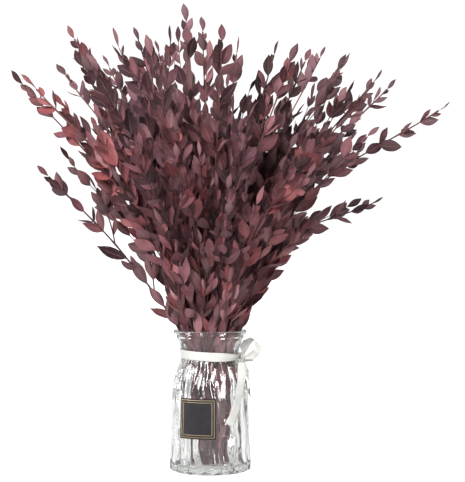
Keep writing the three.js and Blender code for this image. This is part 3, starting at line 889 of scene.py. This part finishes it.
# %% [markdown]
# A leaf's turn is a rotation whose X runs across the leaf, Y along it and Z out of its upper face. Half of
# its roll goes into the turn, because a real leaf twists at its stalk and then lies nearly flat.


# %% Host meshes
def leaf_turn(leaf):
    roll = 0.5 * leaf["roll"]
    across = leaf["across"] * math.cos(roll) + leaf["face"] * math.sin(roll)
    face = leaf["face"] * math.cos(roll) - leaf["across"] * math.sin(roll)
    return Matrix(np.column_stack([-across, leaf["along"], face]).tolist()).to_quaternion()


def pattern_of(leaf):
    slenderness = leaf["half_width"] / leaf["length"]
    kind = 0 if slenderness < 0.19 or leaf.get("is_tip") else 1 if slenderness < 0.25 else 2
    first, count = FIRST_AND_COUNT[kind]
    return first + int(between(0, count))


def shown_half_width(leaf):
    """The leaf that a rod ends in is young and slim."""
    return leaf["half_width"] * (0.74 if leaf.get("is_tip") else 1)


def leaf_tone(leaf, stem_tone):
    """Most leaves are near their stem's tone, darker in the open sprays, and one in seven is nearly black."""
    shift = 0.06 - 0.2 * openness(leaf["root"])
    return between(0, 0.15) if between(0, 1) < 0.14 else stem_tone + shift + between(-0.3, 0.36)


def rod_rows(rod, steps):
    """A rod's points and radii, a little thicker at each pair of leaves."""
    shares = np.linspace(0, 1, steps)
    foot, tip = rod["radius"]
    radii = foot + (tip - foot) * shares
    for station in rod["stations"]:
        radii += 0.25 * foot * np.exp(-(((shares - station["share"]) / 0.012) ** 2))
    return [rod["curve"](share) for share in shares], radii


def make_host(stem):
    """The host mesh of a leafy stem, in metres."""
    tone, warmth = between(0.3, 0.6), between(0.1, 0.85)
    points, radii, edges = [], [], []
    for rod, steps in [(stem, 90)] + [(twig, 16) for twig in stem["twigs"]]:
        edges += [(len(points) + i, len(points) + i + 1) for i in range(steps - 1)]
        rows = rod_rows(rod, steps)
        points += rows[0]
        radii += list(rows[1])
    plain = len(points)
    leaves = stem["leaves"]
    mesh = bpy.data.meshes.new(stem["name"] + "_dressed")
    mesh.from_pydata((np.array(points + [leaf["root"] for leaf in leaves]) * MM).tolist(), edges, [])
    values = {
        "rod_radius": ("FLOAT", [r * MM for r in radii] + [0] * len(leaves)),
        "leaf_pattern": ("INT", [-1] * plain + [pattern_of(leaf) for leaf in leaves]),
        "leaf_tone": ("FLOAT", [tone] * plain + [leaf_tone(leaf, tone) for leaf in leaves]),
        "leaf_warmth": ("FLOAT", [warmth] * plain + [warmth + between(-0.3, 0.3) for _ in leaves]),
        "leaf_turn": ("QUATERNION", [(1, 0, 0, 0)] * plain + [tuple(leaf_turn(leaf)) for leaf in leaves]),
        "leaf_size": ("FLOAT_VECTOR", [(0, 0, 0)] * plain
                      + [(shown_half_width(l) * MM, l["length"] * MM, l["length"] * MM) for l in leaves]),
    }
    for name, (kind, column) in values.items():
        key = "vector" if kind == "FLOAT_VECTOR" else "value"
        mesh.attributes.new(name, kind, "POINT").data.foreach_set(key, np.array(column).ravel())
    return bpy.data.objects.new(mesh.name, mesh)


ROD_SIDES = 7
stem_inputs = {"Leaf patterns": leaf_patterns, "Leaf finish": leaf_finish, "Bark finish": bark_finish}
stem_inputs |= {"Sides": ROD_SIDES}
for stem in stems:
    drop = ["rod_radius", "leaf_pattern", "leaf_turn", "leaf_size"]
    piece = shaped(make_host(stem), stem_tree, stem_inputs, drop)
    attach(piece, "root")
    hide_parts(stem["name"])
    stem["piece"] = piece
faces = [len(stem["piece"].data.polygons) for stem in stems]
print("leafy stems:", sum(faces), "faces, the largest", max(faces))

# %% [markdown]
# ## The glass vase
# Pressed glass: a thick foot, a fluted body that draws in to a neck, and a flared lip. Its shape follows one
# rule, a profile turned round an axis with flutes cut into its outside, so Geometry Nodes turn it. A grid is
# rolled up: its rows read the profile, and its columns become the turn. The flutes are soft lobes between
# sharp creases, and noise makes them wander as they do on cheap pressed glass.

# %% Profile of the glass
BEAD_RADIUS = 2.5  # of the rolled lip
RIDGE_Z = 147.5  # a faint ring below the lip


def fine_outline():
    """The outside from the foot to the lip, rounded, as (radius, height, share of the flutes)."""
    heights = np.concatenate([np.linspace(0.6, 8, 9), np.linspace(11, 140, 60), np.linspace(141, 152, 12)])
    knots = smooth_curve([np.array([r, z, 0.0]) for r, z in GLASS_OUTLINE])
    path = along_rod(knots, 400)
    radii = np.interp(heights, path[:, 1], path[:, 0]) + 1.2 * np.exp(-(((heights - RIDGE_Z) / 0.8) ** 2))
    return [(r, z, flute_depth(z) / FLUTE_DEPTH * smooth(z, -2, 3)) for r, z in zip(radii, heights)]


def glass_profile():
    """The whole section, from the middle of the underside round to the middle of the floor."""
    foot = [(0, 1.4, 0), (20, 1.4, 0), (36, 1.2, 0), (39, 0.2, 0.1), (41, 0, 0.2), (42.6, 0, 0.5)]
    outside = fine_outline()
    middle = (outside[-1][0] + 0.3, VASE_HEIGHT - BEAD_RADIUS)
    lip = [(middle[0] + BEAD_RADIUS * 0.95 * math.cos(a), middle[1] + BEAD_RADIUS * math.sin(a), 0)
           for a in np.radians(np.linspace(-50, 215, 15))]
    heights = np.linspace(VASE_HEIGHT - 5.5, GLASS_FLOOR + 5, 56)
    inside = [(inner_radius(h), h, -0.35 * flute_depth(h) / FLUTE_DEPTH) for h in heights]
    corner = inner_radius(GLASS_FLOOR + 5)
    floor = [(corner - 5 + 5 * math.cos(a), GLASS_FLOOR + 5 - 5 * math.sin(a), 0)
             for a in np.radians((20, 40, 60, 80, 90))]
    return [*foot, *outside, *lip, *inside, *floor, (corner * 0.6, GLASS_FLOOR, 0), (0, GLASS_FLOOR, 0)]


glass_points = glass_profile()
profile_mesh = bpy.data.meshes.new("glass_profile")
profile_mesh.from_pydata([(r * MM, 0, z * MM) for r, z, _ in glass_points], [], [])
fluted = profile_mesh.attributes.new("fluted", "FLOAT", "POINT")
fluted.data.foreach_set("value", [share for _, _, share in glass_points])
glass_profile_object = bpy.data.objects.new("glass_profile", profile_mesh)
print(len(glass_points), "points in the glass's section")


# %% The turning tree
def make_glass_tree():
    kinds = {"Profile": "Object", "Rows": "Int", "Columns": "Int", "Flutes": "Float", "Depth": "Float"}
    more = {"Wander": "Float", "Ripple": "Float", "Finish": "Material"}
    desk, given = new_shape_tree("fluted_glass", kinds | more)
    sizes = {"Size X": 1.0, "Size Y": 1.0, "Vertices X": given["Columns"], "Vertices Y": given["Rows"]}
    grid = desk.node("GeometryNodeMeshGrid", {}, sizes)[0]
    x, y, _ = desk.node("ShaderNodeSeparateXYZ", {}, {0: desk.node("GeometryNodeInputPosition")[0]})
    row = ((y + 0.5) * (given["Rows"] - 1)).maths("ROUND")
    turn = (x + 0.5) * (2 * math.pi)
    profile = desk.node("GeometryNodeObjectInfo", {}, {"Object": given["Profile"]})[4]

    def read(value, kind):
        chosen = {"Geometry": profile, "Value": value, "Index": row}
        return desk.node("GeometryNodeSampleIndex", {"data_type": kind}, chosen)[0]

    radius, _, height = desk.node(
        "ShaderNodeSeparateXYZ", {}, {0: read(desk.node("GeometryNodeInputPosition")[0], "FLOAT_VECTOR")})
    share = read(named(desk, "fluted"), "FLOAT")
    sine, cosine = turn.maths("SINE"), turn.maths("COSINE")

    def wave(around, upwards):
        """Noise over the glass, with so many spots to the radius and to the metre of height."""
        place = {0: sine * around, 1: cosine * around, 2: height * upwards}
        spot = desk.node("ShaderNodeCombineXYZ", {}, place)[0]
        return desk.node("ShaderNodeTexNoise", {}, {"Vector": spot, "Scale": 1.0, "Detail": 1.0})[0] - 0.5

    wandering = turn + wave(1.9, 28) * given["Wander"]
    lobe = 1 - abs((wandering * given["Flutes"] * 0.5).maths("COSINE"))
    cut = radius - lobe * share * given["Depth"] + (wave(8, 45) - 0.25) * abs(share) * given["Ripple"]
    place = desk.node("ShaderNodeCombineXYZ", {}, {0: cut * sine, 1: cut * cosine * -1, 2: height})[0]
    rolled = desk.node("GeometryNodeSetPosition", {}, {"Geometry": grid, "Position": place})[0]
    closed = desk.node("GeometryNodeMergeByDistance", {}, {"Geometry": rolled, "Distance": 0.00001})[0]
    closed = desk.node("GeometryNodeSetShadeSmooth", {}, {"Geometry": closed})[0]
    finished = desk.node("GeometryNodeSetMaterial", {}, {"Geometry": closed, "Material": given["Finish"]})[0]
    return finish_tree(desk, finished)


glass_tree = make_glass_tree()
print(len(glass_tree.nodes), "nodes")

# %% [markdown]
# Clear glass is one Principled shader with full transmission. Its mirror is kept weak, because a strong one
# lays a white veil over the stems. Absorption inside it gives a faint green where the glass is thick, and
# lengthwise streaks in its surface bend what is seen through it.


# %% Glass finish and the vase
def make_glass_finish():
    desk = new_finish("clear_glass", Roughness=0.01, IOR=1.48, Transmission_Weight=1.0,
                      Specular_IOR_Level=0.25)
    spot = desk.node("ShaderNodeTexCoord")[3]
    height = desk.node("ShaderNodeSeparateXYZ", {}, {0: spot})[2]
    drawn = desk.node("ShaderNodeMapping", {}, {"Vector": spot, "Scale": (150, 150, 22)})[0]
    streaks = desk.node("ShaderNodeTexNoise", {}, {"Vector": drawn, "Scale": 1.0, "Detail": 0.5})[0]
    below_lip = 1 - desk.step(height, 0.128, 0.145)
    uneven = {"Strength": 0.42, "Distance": 0.003, "Height": streaks * below_lip}
    bump = desk.node("ShaderNodeBump", {}, uneven)[0]
    foot = 1 - desk.step(height, 0.001, 0.006)
    connect(desk, Base_Color=desk.mix(foot, (0.99, 0.992, 0.99), (0.975, 0.982, 0.965)), Normal=bump)
    tint = {"Color": (0.60, 0.72, 0.58, 1), "Density": 2.5}
    body = desk.node("ShaderNodeVolumeAbsorption", {}, tint)[0]
    desk.tree.links.new(body.socket, desk.tree.get_output_node("ALL").inputs["Volume"])
    return desk.material


def outward(mesh):
    """Turns every face of a closed mesh outwards."""
    made = bmesh.new()
    made.from_mesh(mesh)
    bmesh.ops.recalc_face_normals(made, faces=made.faces)
    open_edges = sum(not edge.is_manifold for edge in made.edges)
    made.to_mesh(mesh)
    made.free()
    return open_edges


COLUMNS_PER_FLUTE = 14
glass_inputs = {"Profile": glass_profile_object, "Rows": len(glass_points)}
glass_inputs |= {"Columns": FLUTES * COLUMNS_PER_FLUTE + 1}
glass_inputs |= {"Flutes": float(FLUTES), "Depth": 1.45 * FLUTE_DEPTH * MM, "Wander": 0.5, "Ripple": 1.1 * MM}
glass_inputs |= {"Finish": make_glass_finish()}
vase = shaped(bpy.data.objects.new("vase_glass", bpy.data.meshes.new("vase_glass")), glass_tree, glass_inputs)
print("vase:", len(vase.data.polygons), "faces,", outward(vase.data), "open edges")
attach(vase, "root")
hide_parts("vase")

# %% [markdown]
# ## The label
# A square of coated paper, wrapped on the glass. It is a strip bent round the vase, with two thin gold lines
# inside its edge and a browner margin outside the inner one. Both are printed, so they belong in the finish:
# the strip's UV map is in millimetres, and the finish goes by the distance to the nearest edge.

# %% Label
LABEL = {"width": 42, "height": 44, "thickness": 0.6, "middle_z": 62, "turn": -18.3}
GOLD_LINES = [(1.9, 0.26), (4.3, 0.26)]  # mm from the edge, and width


def on_glass(turn, z, off):
    """A point on the outside of the glass: turn from the front to the right, height, and how far off."""
    r, a = glass_radius(z) + off, math.radians(turn)
    return np.array([r * math.sin(a), -r * math.cos(a), z])


def grid_mesh(name, rows, places):
    """A mesh of quads through rows of points, with a UV map called flat."""
    wide = len(rows[0])
    faces = [(i * wide + j, i * wide + j + 1, (i + 1) * wide + j + 1, (i + 1) * wide + j)
             for i in range(len(rows) - 1) for j in range(wide - 1)]
    mesh = bpy.data.meshes.new(name)
    mesh.from_pydata([tuple(p * MM) for row in rows for p in row], [], faces)
    flat = [places[v] for face in faces for v in face]
    mesh.uv_layers.new(name="flat").data.foreach_set("uv", np.array(flat).ravel())
    mesh.shade_smooth()
    return mesh


def make_label():
    half_angle = math.degrees(LABEL["width"] / 2 / glass_radius(LABEL["middle_z"]))
    low, high = (LABEL["middle_z"] + s * LABEL["height"] / 2 for s in (-1, 1))
    rows, places = [], []
    for t in np.linspace(0, 1, 13):
        row = []
        for s in np.linspace(0, 1, 33):
            turn = LABEL["turn"] + (2 * s - 1) * half_angle
            row.append(on_glass(turn, low + (high - low) * t, SEAT_GAP))
            places.append((s * LABEL["width"], t * LABEL["height"]))
        rows.append(row)
    label = bpy.data.objects.new("label_paper", grid_mesh("label_paper", rows, places))
    bpy.context.scene.collection.objects.link(label)
    thick = label.modifiers.new("thickness", "SOLIDIFY")
    thick.thickness, thick.offset = LABEL["thickness"] * 0.6 * MM, 1
    edge = label.modifiers.new("soft edge", "BEVEL")
    edge.width, edge.segments, edge.limit_method = 0.1 * MM, 2, "ANGLE"
    return label


def make_label_finish():
    desk = new_finish("printed_label", Roughness=0.5, Specular_IOR_Level=0.1)
    place = desk.node("ShaderNodeUVMap", {"uv_map": "flat"})[0]
    x, y, _ = desk.node("ShaderNodeSeparateXYZ", {}, {0: place})
    from_side = LABEL["width"] / 2 - abs(x - LABEL["width"] / 2)
    from_end = LABEL["height"] / 2 - abs(y - LABEL["height"] / 2)
    inset = from_side.maths("MINIMUM", from_end)
    outer, inner = (1 - desk.step(abs(inset - middle), width * 0.4, width * 0.6)
                    for middle, width in GOLD_LINES)
    gold = outer + inner
    grain, patches = mottle(desk, 1500, 2), mottle(desk, 120, 2)
    paper = desk.mix(patches, (0.020, 0.018, 0.021), (0.034, 0.031, 0.035))
    is_margin = 1 - desk.step(inset, 3.6, 4.6)
    paper = desk.mix(is_margin * 0.7, paper, (0.026, 0.018, 0.013))
    leaf = desk.mix(grain, (0.72, 0.58, 0.33), (0.95, 0.82, 0.56))
    worn = gold * (0.6 + patches * 0.5)
    bump = desk.node("ShaderNodeBump", {}, {"Strength": 0.15, "Distance": 0.0001, "Height": grain})[0]
    colour = desk.mix(worn, paper, leaf)
    connect(desk, Base_Color=colour, Metallic=gold * 0.3, Roughness=0.5 - gold * 0.15, Normal=bump)
    return desk.material


label = make_label()
label.data.materials.append(make_label_finish())
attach(label, "root")
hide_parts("label")
print("label:", len(label.data.polygons), "faces")

# %% [markdown]
# ## The satin ribbon
# One tape, 10 mm wide: once round the neck, a knot on the right, two bow loops and two tails. It is modelled
# directly, since a tape so narrow would lose its edges in a remesh. Each part follows a path of stations, and
# small folds and waves keep it from looking like a metal strip.

# %% Ribbon paths
TAPE_WIDTH, TAPE_THICKNESS = 10, 0.3
KNOT_TURN = 71  # degrees from the front to the right
KNOT_AT = on_glass(KNOT_TURN, 125, 4.6)
BAND_TILT = 3
FRONT_TAIL = [(71, 123, 4.0), (63, 114, 2.8), (56, 104, 2.0), (46, 87, 1.5), (37, 68, 1.5), (27, 55, 1.7)]
BACK_TAIL = [(75, 123, 4.0), (86, 110, 2.8), (96, 95, 2.0), (103, 82, 1.5)]
# The ways that each loop leaves and comes back, the way that it opens, its length and its depth.
UPPER_LOOP = ((0.86, -0.25, 0.42), (0.3, -0.1, 0.95), (0.1, -1, -0.2), 25, 6)
LOWER_LOOP = ((0.9, 0.4, -0.25), (0.7, 0.6, 0.3), (-0.4, 0.8, 0.3), 15, 4.5)


def out_from(turn):
    return np.array([math.sin(math.radians(turn)), -math.cos(math.radians(turn)), 0])


def band_stations():
    drop = glass_radius(NECK_Z) * math.tan(math.radians(BAND_TILT))
    stations = []
    for turn in np.linspace(-285, 75, 121):
        z = NECK_Z - drop * math.sin(math.radians(turn))
        low, high = (on_glass(turn, z + s * TAPE_WIDTH / 2, 2 * SEAT_GAP + 0.2) for s in (-1, 1))
        stations.append((0.5 * (low + high), unit(high - low), out_from(turn)))
    return stations


def loop_stations(leaves, returns, opening, length, depth):
    """A loop that fans out, since it leaves the knot one way and comes back another."""
    leaves, returns, opening = (unit(np.array(way)) for way in (leaves, returns, opening))

    def towards(s):
        return unit(leaves + (returns - leaves) * smooth(s, 0, 1))

    def place(s):
        along = length * math.sin(math.pi * s) ** 0.8
        opened = depth * math.sin(2 * math.pi * s) + 1.5 * math.cos(math.pi * s)
        return KNOT_AT + towards(s) * along + opening * opened

    stations = []
    for s in np.linspace(0, 1, 41):
        along = unit(place(min(s + 0.01, 1)) - place(max(s - 0.01, 0)))
        across = unit(cross(towards(s), opening))
        stations.append((place(s), across, unit(cross(along, across))))
    return stations


def tail_stations(route, faces):
    """A tail leaves the knot facing one way and ends flat on the glass."""
    line = smooth_curve([on_glass(*spot) for spot in route])
    stations = []
    for s in np.linspace(0, 1, 41):
        middle = line(s)
        flat = unit(np.array([middle[0], middle[1], 0]))
        out = unit(out_from(faces) + (flat - out_from(faces)) * smooth(s, 0.3, 0.7))
        stations.append((middle, unit(cross(out, direction(line, s))), out))
    return stations


# %% Ribbon mesh
def tape_rows(stations, ripple, pinch):
    """Rows of points across a tape. It ripples along its edges and is pinched where it enters the knot."""
    rows, gone = [], 0.0
    for i, (middle, across, out) in enumerate(stations):
        gone += 0 if i == 0 else math.dist(middle, stations[i - 1][0])
        share = i / (len(stations) - 1)
        narrow = 1 - 0.55 * sum(math.exp(-(((share - end) / 0.09) ** 2)) for end in pinch)
        row = []
        for v in np.linspace(-1, 1, 9):
            wave = ripple * (math.sin(gone * 0.34 + 1.3 * v) * abs(v) ** 1.5 + 0.5 * math.sin(gone * 0.8) * v)
            folded = (1 - narrow) * 1.6 * math.cos(v * 5)
            row.append(middle + across * v * narrow * TAPE_WIDTH / 2 + out * (wave + folded))
        rows.append(row)
    return rows, gone


def join_tapes(name, tapes):
    points, faces, places, total = [], [], [], 0.0
    for stations, ripple, pinch in tapes:
        rows, gone = tape_rows(stations, ripple, pinch)
        wide, first = len(rows[0]), len(points)
        for i, row in enumerate(rows):
            points += [tuple(p * MM) for p in row]
            places += [(TAPE_WIDTH * j / (wide - 1), total + gone * i / (len(rows) - 1)) for j in range(wide)]
        corners = [first + i * wide + j for i in range(len(rows) - 1) for j in range(wide - 1)]
        faces += [(c, c + 1, c + wide + 1, c + wide) for c in corners]
        total += gone
    mesh = bpy.data.meshes.new(name)
    mesh.from_pydata(points, [], faces)
    flat = [places[v] for face in faces for v in face]
    mesh.uv_layers.new(name="flat").data.foreach_set("uv", np.array(flat).ravel())
    mesh.shade_smooth()
    return mesh, total


def knot_stations():
    """The turn of tape that wraps the knot."""
    up, out = np.array([0, 0, 1.0]), out_from(KNOT_TURN)
    side = cross(up, out)
    stations = []
    for a in np.linspace(0, 2 * math.pi, 25):
        ring = out * math.cos(a) * 3.6 + (up * 0.8 + side * 0.6) * math.sin(a) * 4.6
        across = unit(side * 0.8 - up * 0.6)
        stations.append((KNOT_AT + ring, across, unit(ring)))
    return stations


tapes = [
    (band_stations(), 0.12, (0, 1)),
    (loop_stations(*UPPER_LOOP), 1.3, (0, 1)),
    (loop_stations(*LOWER_LOOP), 0.9, (0, 1)),
    (tail_stations(FRONT_TAIL, 15), 0.5, (0,)),
    (tail_stations(BACK_TAIL, 75), 0.5, (0,)),
    (knot_stations(), 0.2, ()),
]
ribbon_mesh, tape_length = join_tapes("ribbon_tape", tapes)
ribbon = bpy.data.objects.new("ribbon_tape", ribbon_mesh)
bpy.context.scene.collection.objects.link(ribbon)
thick = ribbon.modifiers.new("thickness", "SOLIDIFY")
thick.thickness, thick.offset = TAPE_THICKNESS * MM, 0
print("ribbon:", round(tape_length), "mm of tape")


# %% Satin finish
def make_satin_finish():
    desk = new_finish("white_satin", Roughness=0.4, Specular_IOR_Level=0.35, Sheen_Weight=0.2)
    place = desk.node("ShaderNodeUVMap", {"uv_map": "flat"})[0]
    x, y, _ = desk.node("ShaderNodeSeparateXYZ", {}, {0: place})
    weft = (y * 14).maths("SINE")
    warp = (x * 22).maths("SINE")
    selvedge = desk.step(abs(x - TAPE_WIDTH / 2), 4.4, 4.7)
    soft = mottle(desk, 60, 2)
    colour = desk.mix(soft, (0.56, 0.55, 0.52), (0.69, 0.68, 0.65))
    colour = desk.mix(selvedge * 0.25, colour, (0.70, 0.66, 0.58))
    height = weft * 0.3 + warp * 0.5 + selvedge * 1.5
    bump = desk.node("ShaderNodeBump", {}, {"Strength": 0.3, "Distance": 0.00015, "Height": height})[0]
    connect(desk, Base_Color=colour, Roughness=0.38 + soft * 0.15, Normal=bump)
    return desk.material


ribbon.data.materials.append(make_satin_finish())
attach(ribbon, "root")
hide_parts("ribbon")
tape_length * MM

# %% [markdown]
# ## Floor and light
# The photo was taken on white, in soft light from the front left. The floor is a wide pale sheet, the world
# is white, and one large lamp gives the leaves their form, with a weak one for the right. World and floor are
# brighter to the eye than in the glass, and darkest on the leaves, so that the ground stays white while the
# glass shows its edges and the bunch keeps its deep shadows. Two lamps only make highlights in the glass, and
# two behind the bunch only light its sides and back.


# %% Floor, world and lamps
def about_ray(desk, question):
    """What the Light Path node says of the ray that asks for a colour."""
    return Wire(desk, desk.tree.nodes.new("ShaderNodeLightPath").outputs[question])


def make_floor():
    points = [(x, y, 0) for x, y in ((-30, -30), (30, -30), (30, 30), (-30, 30))]
    mesh = bpy.data.meshes.new("floor")
    mesh.from_pydata(points, [], [(0, 1, 2, 3)])
    floor = bpy.data.objects.new("floor", mesh)
    bpy.context.scene.collection.objects.link(floor)
    desk = new_finish("white_floor", Roughness=0.9, Base_Color=(0.6, 0.6, 0.6, 1), Emission_Strength=1.2)
    seen = desk.mix(about_ray(desk, "Is Camera Ray"), (0.23, 0.23, 0.23), (1, 1, 1))
    bounced = about_ray(desk, "Diffuse Depth").maths("MINIMUM", 1)
    connect(desk, Emission_Color=desk.mix(bounced, seen, (0.04, 0.04, 0.04)))
    mesh.materials.append(desk.material)
    floor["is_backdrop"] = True
    return floor


def make_world():
    world = bpy.data.worlds.new("studio")
    world.use_nodes = True
    desk = Desk(world.node_tree)
    desk.tree.nodes.clear()
    straight, diffuse = about_ray(desk, "Is Camera Ray"), about_ray(desk, "Is Diffuse Ray")
    bounced = about_ray(desk, "Diffuse Depth").maths("MINIMUM", 1)
    sideways = desk.node("ShaderNodeSeparateXYZ", {}, {0: desk.node("ShaderNodeTexCoord")[0]})[0]
    in_glass = 0.75 - desk.step(abs(sideways), 0.4, 0.95) * 0.3
    on_leaves = 0.15 - diffuse * 0.1
    strength = straight * 1.1 + (1 - straight) * (in_glass * (1 - bounced) + on_leaves * bounced)
    ground = desk.node("ShaderNodeBackground", {}, {"Color": (1, 1, 1, 1), "Strength": strength})[0]
    desk.node("ShaderNodeOutputWorld", {}, {"Surface": ground})
    bpy.context.scene.world = world


def add_lamp(name, at, aim, wide, high, power):
    lamp = bpy.data.objects.new(name, bpy.data.lights.new(name, "AREA"))
    lamp.data.shape, lamp.data.size, lamp.data.size_y, lamp.data.energy = "RECTANGLE", wide, high, power
    lamp.location = at
    back = unit(np.array(at) - np.array(aim))
    side = unit(cross(np.array([0, 0, 1.0]), back))
    lamp.rotation_euler = Matrix(np.column_stack([side, cross(back, side), back]).tolist()).to_euler()
    bpy.context.scene.collection.objects.link(lamp)
    return lamp


def add_glint(name, at, wide, high, power):
    """A lamp that only shows as a highlight in the glass and the satin."""
    add_lamp(name, at, (0, 0, 0.1), wide, high, power).visible_diffuse = False


def add_rear_lamp(name, at, power):
    """A lamp for the sides and the back, which shows neither in the glass nor to the eye."""
    lamp = add_lamp(name, at, (0, 0, 0.25), 0.9, 1.2, power)
    lamp.visible_glossy = lamp.visible_transmission = lamp.visible_camera = False


make_floor()
make_world()
add_lamp("key", (-0.9, -1.7, 1.4), (0, 0, 0.3), 0.5, 1.2, 70)
add_lamp("fill", (1.5, -1.7, 0.8), (0, 0, 0.3), 0.5, 1.4, 15)
add_glint("right glint", (1.2, -1.2, 0.35), 0.45, 1.3, 50)
add_glint("left glint", (-1.8, -0.5, 0.45), 0.4, 1.3, 35)
add_rear_lamp("rear right", (1.9, 1.2, 0.8), 30)
add_rear_lamp("rear left", (-1.3, 1.9, 0.8), 30)
bpy.context.scene.view_settings.view_transform = "Standard"

# %% [markdown]
# ## The closing lines
# The pattern objects have done their work and go. The box of the dressed model is set beside the box of the
# solids in one table, and the dressed box is printed.

# %% Close
for helper in [*leaf_patterns.objects, glass_profile_object]:
    bpy.data.objects.remove(helper)
dressed_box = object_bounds()
sizes = {"solids": [list(corner) for corner in solid_box]}
sizes |= {"dressed": [list(corner) for corner in dressed_box]}
print("dressed box", [[round(v, 3) for v in corner] for corner in dressed_box])
